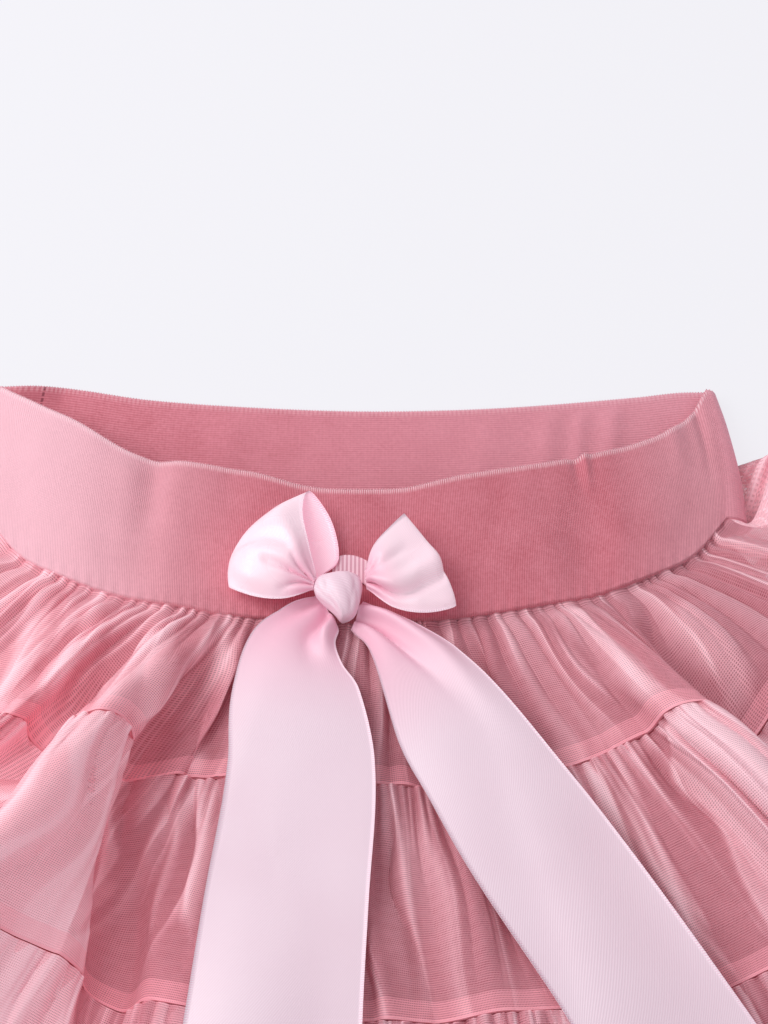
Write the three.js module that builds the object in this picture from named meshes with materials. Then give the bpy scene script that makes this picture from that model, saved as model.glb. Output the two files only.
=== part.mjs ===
import * as THREE from 'three';

// A child's three-tier tulle skirt laid flat on its back, waist open.
// Millimetres. X runs across, Y towards the waist, Z up from the surface it lies on.
// u runs across a face from -1 (left side) to 1 (right side), t runs down the cloth from the waist edge.

// cut sizes
const BAND_HEIGHT = 46;
const TIER_HEIGHTS = [51, 70, 70];
const LINING_SHORTER = 35;
const SEAM_GAP = 0.3;
const BAND_WALL = 2.6;
const TULLE_WALL = 1.6;
const LINING_WALL = 1.2;
const RIBBON_WALL = 1.0;
const FRONT_GATHERS = [56, 60, 64];
const LINING_WAVES = 12;
const LAY = 0.97;

const T_SEAM = BAND_HEIGHT;
const T_1 = T_SEAM + TIER_HEIGHTS[0];
const T_2 = T_1 + TIER_HEIGHTS[1];
const T_3 = T_2 + TIER_HEIGHTS[2];
const T_LINING = T_3 - LINING_SHORTER;

// where the middle of the outline sits in the layout, so that the part is centred on its origin
const CENTRE = { x: 0.6, y: -86.0 };

// [u, y] front waist edge
const FRONT_TOP = [
  [-1, 46.8], [-0.9, 42], [-0.8, 35.8], [-0.7, 28], [-0.62, 22.6], [-0.45, 18.6], [-0.3, 15.8], [-0.15, 11],
  [0, 9.5], [0.15, 10.4], [0.3, 14.5], [0.5, 18.8], [0.7, 24.4], [0.85, 31.2], [0.94, 38.5], [1, 46.8],
];
// [|u|, y]
const FRONT_SEAM = [[0, -36.3], [0.25, -34.8], [0.45, -31.2], [0.65, -25.6], [0.8, -18], [0.9, -10.6], [1, 3.6]];
const BACK_TOP = [[0, 44.8], [0.5, 46.6], [0.8, 48.6], [0.92, 49], [1, 46.8]];
const BACK_SEAM = [[0, -1.2], [0.5, -1.2], [0.8, -0.6], [0.92, 1.2], [1, 3.6]];
// [t, half the width]
const HALF_WIDTH = [[0, 104], [12, 107], [30, 109.8], [46, 109.5]];
// [u, degrees the gathers fan out from straight down]
const FAN = [
  [-1, -80], [-0.85, -52], [-0.7, -42], [-0.5, -38], [-0.25, -21], [0, 0],
  [0.25, 17], [0.5, 36], [0.7, 51], [0.85, 63], [1, 84],
];
// near the sides the cloth leaves the seam straighter, and takes its fan over the first few millimetres
const FIRST_FAN = { share: 0.55, over: 14, power: 6 };
// [t, height of the front's middle, height of its side]
const HEIGHTS = [[0, 20, 9], [T_SEAM, 30, 14], [T_1, 42, 26], [T_2, 54, 30], [T_3, 46, 24]];
// the big folds of the front: middle, half width, height and lean at the waist, band seam, two tier seams and hem
const FOLDS = [
  { u: -0.6, w: 0.14, rise: [-2.2, -0.6, 0, 0, 0], lean: [0, 0, 0, 0, 0] },
  { u: 0.62, w: 0.1, rise: [-1.4, -0.6, 0, 0, 0], lean: [0, 0, 0, 0, 0] },
  { u: -0.9, w: 0.085, rise: [0, 0, 5, 9, 12], lean: [0, 0, 0, 0, 0] },
  { u: -0.73, w: 0.09, rise: [0, 0, -5, -8, -8], lean: [0, 0, 0, 0, 0] },
  { u: -0.57, w: 0.07, rise: [0, 0, 8, 10, 14], lean: [0, 0, 0, 0, 0] },
  { u: -0.415, w: 0.105, rise: [0, 0, 22, 27, 18], lean: [0, 0, 3, 9, 8] },
  { u: -0.25, w: 0.09, rise: [0, 0, -7, -14, -8], lean: [0, 0, 0, 0, 0] },
  { u: -0.1, w: 0.08, rise: [0, 0, 0, 2, 9], lean: [0, 0, 0, 0, 2] },
  { u: 0.14, w: 0.09, rise: [0, 0, 1, 3, 11], lean: [0, 0, 0, 0, -2] },
  { u: 0.35, w: 0.11, rise: [0, 0, -3, -8, -6], lean: [0, 0, 0, 0, 0] },
  { u: 0.6, w: 0.125, rise: [0, 0, 19, 24, 18], lean: [0, 0, -3, -6, -6] },
  { u: 0.78, w: 0.085, rise: [0, 0, -4, -9, -9], lean: [0, 0, 0, 0, 0] },
  { u: 0.91, w: 0.08, rise: [0, 0, 5, 9, 12], lean: [0, 0, 0, 0, 0] },
];
// [share of the tier's height, height of a gather above its middle, how far the middle is let in]
const GATHERS = [
  [[0, 1.15, 1.15], [0.2, 1.7, 0.4], [0.6, 1.8, 0], [1, 1.1, 0]],
  [[0, 1.3, 0.4], [0.2, 1.9, 0], [0.6, 2.2, 0], [1, 1.4, 0]],
  [[0, 1.5, 0.4], [0.2, 2.2, 0], [0.6, 3.0, 0], [1, 3.6, 0]],
];
// [t, height of the lining front's middle, height of its side]
const LINING_HEIGHTS = [[T_SEAM, 24.6, 7.0], [T_1, 27, 9.5], [T_2, 32, 12], [T_LINING, 31, 13]];
const LINING_HALF = 107;
const LINING_FAN = 0.55;
const LINING_FLOOR = 2.9;

// small maths
const rad = (d) => (d * Math.PI) / 180;
const mix = (a, b, k) => a + (b - a) * k;
const clamp = (v, a, b) => Math.min(b, Math.max(a, v));
const ease = (s) => { const k = clamp(s, 0, 1); return k * k * (3 - 2 * k); };
const add = (a, b, k = 1) => [a[0] + b[0] * k, a[1] + b[1] * k, a[2] + b[2] * k];
const sub = (a, b) => [a[0] - b[0], a[1] - b[1], a[2] - b[2]];
const cross = (a, b) => [a[1] * b[2] - a[2] * b[1], a[2] * b[0] - a[0] * b[2], a[0] * b[1] - a[1] * b[0]];
const unit = (a) => { const l = Math.hypot(...a); return [a[0] / l, a[1] / l, a[2] / l]; };

// smooth curve through the rows of a table: column 0 in, the named column out
function curve(x, table, column = 1) {
  const n = table.length;
  const slope = (i) => {
    const a = table[Math.max(i - 1, 0)], b = table[Math.min(i + 1, n - 1)];
    return (b[column] - a[column]) / (b[0] - a[0]);
  };
  let i = 0;
  while (i < n - 2 && x >= table[i + 1][0]) i += 1;
  const h = table[i + 1][0] - table[i][0];
  const s = clamp((x - table[i][0]) / h, 0, 1);
  const s2 = s * s, s3 = s2 * s;
  return (2 * s3 - 3 * s2 + 1) * table[i][column] + (s3 - 2 * s2 + s) * slope(i) * h
    + (-2 * s3 + 3 * s2) * table[i + 1][column] + (s3 - s2) * slope(i + 1) * h;
}
function line(x, table, column) {
  let i = 0;
  while (i < table.length - 2 && x >= table[i + 1][0]) i += 1;
  const k = clamp((x - table[i][0]) / (table[i + 1][0] - table[i][0]), 0, 1);
  return mix(table[i][column], table[i + 1][column], k);
}

const STATION_T = [0, T_SEAM, T_1, T_2, T_3];
const foldCurve = (t, list) => curve(t, list.map((v, i) => [STATION_T[i], v]));

// how far a point moves across and down when it lies this far below the seam
function fanOut(u, below, scale = 1) {
  const full = rad(curve(u, FAN)) * scale;
  const first = full * (1 - (1 - FIRST_FAN.share) * Math.abs(u) ** FIRST_FAN.power);
  const near = below > 0 ? FIRST_FAN.over * (1 - Math.exp(-below / FIRST_FAN.over)) : below;
  const far = below - near;
  return {
    across: near * Math.sin(first) + far * Math.sin(full),
    down: near * Math.cos(first) + far * Math.cos(full),
    angle: full,
  };
}

// the smooth front of the skirt: band where t is less than T_SEAM, tiers past it
function front(u, t, onBand, valleys = 1) {
  const half = onBand ? curve(t, HALF_WIDTH) : HALF_WIDTH[3][1];
  const { across, down, angle } = fanOut(u, onBand ? 0 : (t - T_SEAM) * LAY);
  const seamY = curve(Math.abs(u), FRONT_SEAM);
  const y = onBand ? mix(curve(u, FRONT_TOP), seamY, t / T_SEAM) : seamY;
  const side = curve(t, HEIGHTS, 2);
  let z = side + (curve(t, HEIGHTS, 1) - side) * (1 - Math.abs(u) ** 4);
  let lean = 0;
  for (const fold of FOLDS) {
    const s = (u - fold.u) / fold.w;
    if (Math.abs(s) >= 1) continue;
    const bump = (1 + Math.cos(Math.PI * s)) / 2;
    const rise = bump * foldCurve(t, fold.rise);
    z += rise < 0 ? rise * valleys : rise;
    lean += bump * foldCurve(t, fold.lean);
  }
  return [
    u * half + across + lean * Math.cos(angle),
    y - down + lean * Math.sin(angle),
    z,
  ];
}
// the back lies on the surface
function back(u, t, onBand) {
  const half = onBand ? curve(t, HALF_WIDTH) : HALF_WIDTH[3][1];
  const { across, down } = fanOut(u, onBand ? 0 : (t - T_SEAM) * LAY);
  const seamY = curve(Math.abs(u), BACK_SEAM);
  const y = onBand ? mix(curve(Math.abs(u), BACK_TOP), seamY, t / T_SEAM) : seamY;
  return [u * half + across, y - down, 0];
}
// a side rounds from the front's edge down to the back's edge; beta goes from 0 to pi
function side(end, beta, t, edge, floor, fan, onBand) {
  const r = (edge[2] - floor) / 2;
  const f = onBand ? 0 : rad(Math.abs(fan)) * ease((t - T_SEAM) / 25);
  return [
    edge[0] + end * r * Math.sin(beta) * Math.cos(f),
    edge[1] + r * Math.sin(beta) * Math.sin(f),
    edge[2] + r * (Math.cos(beta) - 1),
  ];
}

// points round the skirt: k from -1 to 1 over the front, 1 to 2 round the right side,
// 2 to 4 over the back from right to left, 4 to 5 round the left side
function round(k, t, onBand) {
  if (k <= 1 && k >= -1) return front(k, t, onBand);
  if (k < 2 && k > 1) return side(1, (k - 1) * Math.PI, t, front(1, t, onBand), 0, 84, onBand);
  if (k <= 4 && k >= 2) return back(3 - k, t, onBand);
  const beta = k > 4 ? (5 - k) * Math.PI : -(k + 1) * Math.PI;
  return side(-1, beta, t, front(-1, t, onBand), 0, 80, onBand);
}
function liningFront(u, t) {
  const { across, down } = fanOut(u, (t - T_SEAM) * LAY, LINING_FAN);
  const low = curve(t, LINING_HEIGHTS, 2);
  return [
    u * LINING_HALF + across,
    curve(Math.abs(u), FRONT_SEAM) - down,
    low + (curve(t, LINING_HEIGHTS, 1) - low) * (1 - Math.abs(u) ** 4),
  ];
}
function liningRound(k, t) {
  if (k <= 1 && k >= -1) return liningFront(k, t);
  if (k < 2 && k > 1) return side(1, (k - 1) * Math.PI, t, liningFront(1, t), LINING_FLOOR, 84 * LINING_FAN, false);
  if (k <= 4 && k >= 2) {
    const u = 3 - k, { across, down } = fanOut(u, (t - T_SEAM) * LAY, LINING_FAN);
    return [u * LINING_HALF + across, curve(Math.abs(u), BACK_SEAM) - down, LINING_FLOOR];
  }
  const beta = k > 4 ? (5 - k) * Math.PI : -(k + 1) * Math.PI;
  return side(-1, beta, t, liningFront(-1, t), LINING_FLOOR, 80 * LINING_FAN, false);
}

// outward direction of a surface at k, t
function outward(surface, k, t) {
  const e = 1e-3;
  const dk = sub(surface(k + e, t), surface(k - e, t));
  const dt = sub(surface(k, t + 0.05), surface(k, t - 0.05));
  return unit(cross(dt, dk));
}

// stations round the skirt: the front in even steps, the sides and the back in fewer
function stations(frontSteps, sideSteps, backSteps) {
  const list = [];
  for (let i = 0; i <= frontSteps; i += 1) list.push({ k: -1 + (2 * i) / frontSteps, gather: i });
  for (let i = 1; i < sideSteps; i += 1) list.push({ k: 1 + i / sideSteps });
  for (let i = 0; i <= backSteps; i += 1) list.push({ k: 2 + (2 * i) / backSteps });
  for (let i = 1; i < sideSteps; i += 1) list.push({ k: 4 + i / sideSteps });
  return list;
}

const group = new THREE.Group();
group.name = 'tulle_skirt';

function addMesh(name, color, points, faces) {
  const centred = points.map((p) => [p[0] - CENTRE.x, p[1] - CENTRE.y, p[2]]);
  let volume = 0;
  for (const [a, b, c] of faces) {
    const n = cross(centred[b], centred[c]);
    volume += centred[a][0] * n[0] + centred[a][1] * n[1] + centred[a][2] * n[2];
  }
  const out = volume > 0 ? faces : faces.map(([a, b, c]) => [a, c, b]);
  const geometry = new THREE.BufferGeometry();
  geometry.setAttribute('position', new THREE.Float32BufferAttribute(centred.flat(), 3));
  geometry.setIndex(out.flat());
  geometry.computeVertexNormals();
  const mesh = new THREE.Mesh(geometry, new THREE.MeshStandardMaterial({ color, roughness: 0.8 }));
  mesh.name = name;
  group.add(mesh);
}

// a tube of cloth with a wall: ring(i, j) gives the outer point and the way in
function tube(name, color, count, rows, ring) {
  const points = [], faces = [];
  const outer = (i, j) => (i % count) * rows * 2 + j * 2;
  const inner = (i, j) => outer(i, j) + 1;
  for (let i = 0; i < count; i += 1) {
    for (let j = 0; j < rows; j += 1) points.push(...ring(i, j));
  }
  const quad = (a, b, c, d) => faces.push([a, b, c], [a, c, d]);
  for (let i = 0; i < count; i += 1) {
    for (let j = 0; j < rows - 1; j += 1) {
      quad(outer(i, j), outer(i + 1, j), outer(i + 1, j + 1), outer(i, j + 1));
      quad(inner(i, j), inner(i, j + 1), inner(i + 1, j + 1), inner(i + 1, j));
    }
    quad(inner(i, 0), inner(i + 1, 0), outer(i + 1, 0), outer(i, 0));
    quad(outer(i, rows - 1), outer(i + 1, rows - 1), inner(i + 1, rows - 1), inner(i, rows - 1));
  }
  addMesh(name, color, points, faces);
}

// a length of ribbon with a wall: middle(a, b) gives its middle surface, a across and b along, 0 to 1
function ribbon(name, color, across, along, middle) {
  const points = [], faces = [];
  const e = 1e-3;
  for (let i = 0; i <= across; i += 1) {
    for (let j = 0; j <= along; j += 1) {
      const a = i / across, b = j / along;
      const p = middle(a, b);
      const a0 = Math.max(a - e, 0), a1 = Math.min(a + e, 1), b0 = Math.max(b - e, 0), b1 = Math.min(b + e, 1);
      const n = unit(cross(sub(middle(a1, b), middle(a0, b)), sub(middle(a, b1), middle(a, b0))));
      points.push(add(p, n, RIBBON_WALL / 2), add(p, n, -RIBBON_WALL / 2));
    }
  }
  const top = (i, j) => (i * (along + 1) + j) * 2;
  const under = (i, j) => top(i, j) + 1;
  const quad = (a, b, c, d) => faces.push([a, b, c], [a, c, d]);
  for (let i = 0; i < across; i += 1) {
    for (let j = 0; j < along; j += 1) {
      quad(top(i, j), top(i + 1, j), top(i + 1, j + 1), top(i, j + 1));
      quad(under(i, j), under(i, j + 1), under(i + 1, j + 1), under(i + 1, j));
    }
    quad(under(i, 0), under(i + 1, 0), top(i + 1, 0), top(i, 0));
    quad(top(i, along), top(i + 1, along), under(i + 1, along), under(i, along));
  }
  for (let j = 0; j < along; j += 1) {
    quad(top(0, j), top(0, j + 1), under(0, j + 1), under(0, j));
    quad(under(across, j), under(across, j + 1), top(across, j + 1), top(across, j));
  }
  addMesh(name, color, points, faces);
}

const ROSE = 0xd98597;
const TULLE = 0xdf9aa8;
const DEEP = 0xb9606f;
const SATIN = 0xf6d3e2;

// waistband: a doubled knit band, its upper fold slightly rounded
{
  const list = stations(44, 5, 24);
  const rows = [{ t: -0.6, pinch: 0.7 }, { t: 0.4, pinch: 0 }, { t: 16, pinch: 0 }, { t: 32, pinch: 0 }, { t: T_SEAM - SEAM_GAP / 2, pinch: 0 }];
  const surface = (k, t) => round(k, t, true);
  tube('waistband', ROSE, list.length, rows.length, (i, j) => {
    const { k } = list[i], { t, pinch } = rows[j];
    const p = surface(k, t), n = outward(surface, k, Math.max(t, 0.1));
    const flat = k >= 2 && k <= 4 ? 0 : pinch;
    return [add(p, n, -flat), add(p, n, -BAND_WALL + pinch)];
  });
}

// the gathered tiers
const TIER_ENDS = [[T_SEAM, T_1], [T_1, T_2], [T_2, T_3]];
TIER_ENDS.forEach(([from, to], tier) => {
  const gathers = FRONT_GATHERS[tier];
  const list = stations(gathers * 4, 6, 20);
  const start = from + SEAM_GAP / 2, end = tier < 2 ? to - SEAM_GAP / 2 : to;
  const rows = [0, 0.2, 0.6, 1];
  const surface = (k, t) => round(k, t, false);
  tube(`tier_${tier + 1}`, TULLE, list.length, rows.length, (i, j) => {
    const { k, gather } = list[i];
    const t = mix(start, end, rows[j]);
    const p = surface(k, t), n = outward(surface, k, t);
    let out = 0;
    if (gather !== undefined) {
      const edge = ease((1 - Math.abs(k)) / 0.06);
      const uneven = 0.8 + 0.2 * Math.sin(gather * 0.83 + tier * 2.1);
      const high = [0, 1, 0, -1][gather % 4];
      out = edge * (high * uneven * line(rows[j], GATHERS[tier], 1) - line(rows[j], GATHERS[tier], 2));
    }
    return [add(p, n, out), add(p, n, out - TULLE_WALL)];
  });
});

// the opaque lining, set in from the tiers
{
  const list = stations(LINING_WAVES * 4, 5, 12);
  const rows = [0, 0.3, 0.65, 1];
  tube('lining', DEEP, list.length, rows.length, (i, j) => {
    const { k, gather } = list[i];
    const t = mix(T_SEAM + SEAM_GAP / 2, T_LINING, rows[j]);
    const p = liningRound(k, t), n = outward(liningRound, k, t);
    const wave = gather === undefined ? 0 : [0, 1, 0, -1][gather % 4] * 2 * rows[j] * ease((1 - Math.abs(k)) / 0.1);
    return [add(p, n, wave), add(p, n, wave - LINING_WALL)];
  });
}

// a point above the front: u, t and the height over the smooth cloth, half bridging its valleys
function above(u, t, h) {
  const surface = (a, b) => front(a, b, b < T_SEAM, 0.5);
  const n = outward(surface, u, t < T_SEAM ? Math.min(t, T_SEAM - 0.1) : Math.max(t, T_SEAM + 0.1));
  return add(surface(u, t), n, h);
}
// the near end and the far end of the ribbon's two edges: rows of [along, u, t, height] for each edge
function between(edges) {
  return (a, b) => {
    if (edges.length === 2) return above(...[1, 2, 3].map((c) => mix(curve(b, edges[0], c), curve(b, edges[1], c), a)));
    const at = edges.map((edge) => above(curve(b, edge, 1), curve(b, edge, 2), curve(b, edge, 3)));
    const w = [(1 - a) * (1 - 2 * a), 4 * a * (1 - a), a * (2 * a - 1)];
    return [0, 1, 2].map((c) => at[0][c] * w[0] + at[1][c] * w[1] + at[2][c] * w[2]);
  };
}

// bow loops: [along the ribbon from the knot round and back, u, t, height] for the upper edge, middle and lower edge
ribbon('bow_loop_left', SATIN, 4, 14, between([
  [[0, -0.105, 37.2, 8], [0.18, -0.128, 26.5, 11], [0.36, -0.144, 15, 10], [0.52, -0.128, 7, 8], [0.68, -0.068, 14, 4.5], [0.84, -0.048, 22.5, 2.5], [1, -0.088, 32.5, 2.4]],
  [[0, -0.108, 39, 8.4], [0.18, -0.188, 35, 12], [0.36, -0.258, 31, 11], [0.52, -0.312, 27, 5.5], [0.68, -0.242, 26, 1.6], [0.84, -0.176, 28, 1.6], [1, -0.1, 34.5, 2.2]],
  [[0, -0.112, 40.6, 7], [0.18, -0.184, 43, 6], [0.36, -0.27, 42.5, 5], [0.52, -0.324, 39, 3.2], [0.68, -0.264, 36.5, 1.4], [0.84, -0.182, 36, 1.6], [1, -0.112, 37, 2]],
]));
ribbon('bow_loop_right', SATIN, 4, 14, between([
  [[0, 0.024, 34.5, 7.6], [0.18, 0.045, 27.5, 10.5], [0.36, 0.088, 20, 9], [0.52, 0.128, 13.5, 6], [0.68, 0.102, 16, 2.6], [0.84, 0.048, 23.5, 2], [1, 0.026, 32.5, 2.6]],
  [[0, 0.026, 37, 8], [0.18, 0.082, 37, 11.5], [0.36, 0.152, 33.5, 10], [0.52, 0.224, 32.5, 5], [0.68, 0.16, 30, 1.6], [0.84, 0.082, 32, 1.6], [1, 0.03, 34.5, 2.2]],
  [[0, 0.028, 39.5, 6.6], [0.18, 0.098, 46, 6.4], [0.36, 0.178, 48, 5.6], [0.52, 0.26, 45, 3.6], [0.68, 0.186, 41.5, 1.5], [0.84, 0.09, 38.5, 1.6], [1, 0.03, 36.5, 2]],
]));

// the knot, a short rounded barrel lying aslant
{
  const KNOT = { u: -0.042, t: 41.6, height: 5.35, halves: [6.1, 7.0, 4.7], turn: -18 };
  const around = 14, along = 7;
  const centre = above(KNOT.u, KNOT.t, KNOT.height);
  const points = [], faces = [];
  const c = Math.cos(rad(KNOT.turn)), s = Math.sin(rad(KNOT.turn));
  const place = (x, y, z) => add(centre, [x * c - y * s, x * s + y * c, z]);
  for (let j = 1; j < along; j += 1) {
    const v = (Math.PI * j) / along;
    for (let i = 0; i < around; i += 1) {
      const w = (2 * Math.PI * i) / around;
      points.push(place(
        KNOT.halves[0] * Math.sin(v) ** 0.8 * Math.cos(w),
        KNOT.halves[1] * Math.cos(v),
        KNOT.halves[2] * Math.sin(v) ** 0.8 * Math.sin(w),
      ));
    }
  }
  const id = (i, j) => (j - 1) * around + (i % around);
  const first = points.push(place(0, KNOT.halves[1], 0)) - 1;
  const last = points.push(place(0, -KNOT.halves[1], 0)) - 1;
  for (let i = 0; i < around; i += 1) {
    faces.push([first, id(i, 1), id(i + 1, 1)], [last, id(i + 1, along - 1), id(i, along - 1)]);
    for (let j = 1; j < along - 1; j += 1) {
      faces.push([id(i, j), id(i, j + 1), id(i + 1, j + 1)], [id(i, j), id(i + 1, j + 1), id(i + 1, j)]);
    }
  }
  addMesh('bow_knot', SATIN, points, faces);
}

// tails: [along, u, t, height] for the left edge and the right edge
ribbon('ribbon_tail_left', SATIN, 7, 15, between([
  [[0, -0.12, 42.6, 1.15], [0.05, -0.18, 45, 2], [0.1, -0.235, 50.5, 3], [0.15, -0.244, 58.5, 3.6], [0.22, -0.226, 73, 4], [0.34, -0.182, 98, 4], [0.6, -0.158, 141.5, 4.2], [0.78, -0.144, 171.5, 5.4], [1, -0.132, 214, 7]],
  [[0, -0.05, 49, 1.5], [0.05, -0.042, 52.5, 2.8], [0.1, -0.046, 57, 3.8], [0.15, -0.028, 63.5, 4.2], [0.22, 0.008, 72, 4], [0.34, 0.032, 95, 4], [0.6, 0.018, 138, 4.2], [0.78, 0.01, 168, 5.4], [1, 0.004, 210, 7]],
]));
ribbon('ribbon_tail_right', SATIN, 7, 15, between([
  [[0, -0.012, 50, 1.6], [0.05, 0.022, 55, 2.8], [0.1, 0.04, 62.5, 4], [0.16, 0.056, 74, 4], [0.24, 0.076, 90.5, 4], [0.36, 0.11, 108, 4], [0.52, 0.145, 132, 4.2], [0.76, 0.21, 176.5, 5.4], [1, 0.245, 218, 7]],
  [[0, 0.032, 44, 1.15], [0.05, 0.1, 47, 2.6], [0.1, 0.162, 52, 3.6], [0.16, 0.226, 60, 4], [0.24, 0.278, 76, 4], [0.36, 0.324, 106.5, 4], [0.52, 0.348, 131, 4.2], [0.76, 0.374, 180, 5.4], [1, 0.385, 210, 7]],
]));

// the short flat loop of ribbon that holds the bow to the band, above the knot
ribbon('bow_stay', SATIN, 2, 4, (a, b) => above(mix(-0.04, 0.012, a), mix(24.5, 33, b), 1.0));

export default group;
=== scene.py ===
# A tiered tulle skirt laid flat on its back, with a knit waistband, a lining and a ribbon bow
import math
import bpy
import numpy as np
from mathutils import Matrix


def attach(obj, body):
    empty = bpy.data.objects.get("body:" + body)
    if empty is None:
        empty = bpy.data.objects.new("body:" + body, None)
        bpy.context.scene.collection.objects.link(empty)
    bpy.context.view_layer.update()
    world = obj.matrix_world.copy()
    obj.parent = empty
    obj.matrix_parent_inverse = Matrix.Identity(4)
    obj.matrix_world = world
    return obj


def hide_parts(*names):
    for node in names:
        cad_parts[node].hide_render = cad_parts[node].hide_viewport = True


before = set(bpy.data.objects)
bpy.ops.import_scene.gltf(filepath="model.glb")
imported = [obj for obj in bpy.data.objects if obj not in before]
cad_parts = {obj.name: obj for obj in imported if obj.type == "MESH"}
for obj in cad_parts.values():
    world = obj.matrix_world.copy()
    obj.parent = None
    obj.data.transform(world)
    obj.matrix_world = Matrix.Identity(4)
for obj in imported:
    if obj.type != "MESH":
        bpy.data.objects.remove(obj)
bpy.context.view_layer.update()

# The form in millimetres: x across, y towards the waist, z up from the surface. u goes from -1 at the left
# to 1 at the right of the front or the back, t is the length down the cloth from the band's upper fold.
T_SEAM, T_1, T_2, T_3 = 46.0, 97.0, 167.0, 237.0
T_LINING = T_3 - 35.0
SEAMS = (T_SEAM, T_1, T_2, T_3)
STATION_T = (0,) + SEAMS
ALLOWANCE = 6.0
# share of a tier's length that shows from above
LAY = 0.97
CENTRE = np.array([0.6, -86.0, 0.0])
BAND_WALL = 2.4
# length round the band, and where its front ends on it
BAND_ROUND = 450.0
FRONT_OF_BAND = 286.0
LINING_ROUND = 900.0
RIBBON_WIDTH = 40.0
RIBBON_WALL = 0.35
# textures' coordinates count in this many millimetres
UV_UNIT = 100.0

# y of the band's upper fold and of its seam, at places u
FRONT_TOP = [
    (-1, 51.5), (-0.9, 42.5), (-0.8, 35.8), (-0.7, 28), (-0.62, 22.6), (-0.45, 18.6), (-0.3, 15.8),
    (-0.15, 11), (0, 9.5), (0.15, 10.4), (0.3, 14.5), (0.5, 18.8), (0.7, 24.4), (0.85, 31.2), (0.94, 39.5),
    (1, 50.4)]
FRONT_SEAM = [(0, -36.3), (0.25, -34.8), (0.45, -31.2), (0.65, -25.6), (0.8, -18), (0.9, -10.6), (1, 3.6)]
BACK_TOP = [
    (-1, 52.8), (-0.92, 53.1), (-0.8, 51.6), (-0.6, 48.1), (-0.3, 45.5), (0, 44.2), (0.27, 44.6),
    (0.5, 46.0), (0.8, 49.0), (0.92, 50.6), (1, 50.8)]
BACK_SEAM = [(0, -1.2), (0.5, -1.2), (0.8, -0.6), (0.92, 1.2), (1, 3.6)]
# half width of the band at lengths t
HALF_WIDTH = [(0, 107.2), (12, 109.0), (30, 110.2), (46, 109.5)]
SEAM_HALF = HALF_WIDTH[-1][1]
# degrees that the gathers point outwards at places u, and how much less of it there is just below the seam
FAN = [
    (-1, -80), (-0.85, -52), (-0.7, -42), (-0.5, -38), (-0.25, -21), (0, 0), (0.25, 17), (0.5, 36),
    (0.7, 51), (0.85, 63), (1, 84)]
FIRST_SHARE, FIRST_REACH, FIRST_POWER = 0.55, 14.0, 6
# t, height of the front over the surface in the middle and at the sides
HEIGHTS = [(0, 20, 5.5), (T_SEAM, 30, 14), (T_1, 42, 26), (T_2, 54, 30), (T_3, 46, 24)]
# large folds: middle, half width, then at the waist, band seam, two tier seams and hem the rise and,
# where there is one, the lean
FOLDS = [
    (-0.6, 0.14, (-2.2, -0.6, 0, 0, 0)),
    (0.62, 0.1, (-1.4, -0.6, 0, 0, 0)),
    (-0.9, 0.085, (0, 0, 5, 9, 12)),
    (-0.73, 0.09, (0, 0, -5, -8, -8)),
    (-0.57, 0.07, (0, 0, 8, 10, 14)),
    (-0.415, 0.105, (0, 0, 22, 27, 18), (0, 0, 3, 9, 8)),
    (-0.25, 0.09, (0, 0, -7, -14, -8)),
    (-0.1, 0.08, (0, 0, 0, 2, 9), (0, 0, 0, 0, 2)),
    (0.14, 0.09, (0, 0, 1, 3, 11), (0, 0, 0, 0, -2)),
    (0.35, 0.11, (0, 0, -3, -8, -6)),
    (0.6, 0.125, (0, 0, 19, 24, 18), (0, 0, -3, -6, -6)),
    (0.78, 0.085, (0, 0, -4, -9, -9)),
    (0.91, 0.08, (0, 0, 5, 9, 12)),
]
LINING_HEIGHTS = [(T_SEAM, 24.6, 7.0), (T_1, 27, 9.5), (T_2, 32, 12), (T_LINING, 31, 13)]
LINING_HALF = 107.0
LINING_FAN = 0.55
LINING_FLOOR = 2.9


def curve(x, table, column=1):
    """Smooth curve through the rows of a table."""
    xs = np.array([r[0] for r in table], float)
    ys = np.array([r[column] for r in table], float)
    m = np.empty_like(ys)
    m[1:-1] = (ys[2:] - ys[:-2]) / (xs[2:] - xs[:-2])
    m[0] = (ys[1] - ys[0]) / (xs[1] - xs[0])
    m[-1] = (ys[-1] - ys[-2]) / (xs[-1] - xs[-2])
    x = np.asarray(x, float)
    i = np.clip(np.searchsorted(xs, x, side="right") - 1, 0, len(xs) - 2)
    h = xs[i + 1] - xs[i]
    s = np.clip((x - xs[i]) / h, 0, 1)
    s2, s3 = s * s, s * s * s
    return ((2 * s3 - 3 * s2 + 1) * ys[i] + (s3 - 2 * s2 + s) * m[i] * h
            + (-2 * s3 + 3 * s2) * ys[i + 1] + (s3 - s2) * m[i + 1] * h)


def ease(s):
    """0 up to 0, 1 from 1 on, smooth between."""
    k = np.clip(s, 0, 1)
    return k * k * (3 - 2 * k)


def bell(distance, half):
    """1 in the middle, 0 from half away on."""
    return (1 + np.cos(np.pi * np.clip(distance / half, -1, 1))) / 2


def hump(distance, width):
    """1 in the middle, fading out over about twice the width."""
    return np.exp(-(distance / width) ** 2)


def crossed(a, b):
    return np.meshgrid(a, b, indexing="ij")


def stack(x, y, z):
    x, y, z = np.broadcast_arrays(x, y, z)
    return np.stack([x, y, z], -1)


def unit(v):
    return v / np.maximum(np.linalg.norm(v, axis=-1, keepdims=True), 1e-9)


def fan_out(u, below, scale=1.0):
    """How far across and down the cloth runs from the seam to the length below it, and its final angle."""
    full = np.radians(curve(u, FAN)) * scale
    first = full * (1 - (1 - FIRST_SHARE) * np.abs(u) ** FIRST_POWER)
    near = np.where(below > 0, FIRST_REACH * (1 - np.exp(-np.maximum(below, 0) / FIRST_REACH)), below)
    far = below - near
    return near * np.sin(first) + far * np.sin(full), near * np.cos(first) + far * np.cos(full), full


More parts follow.
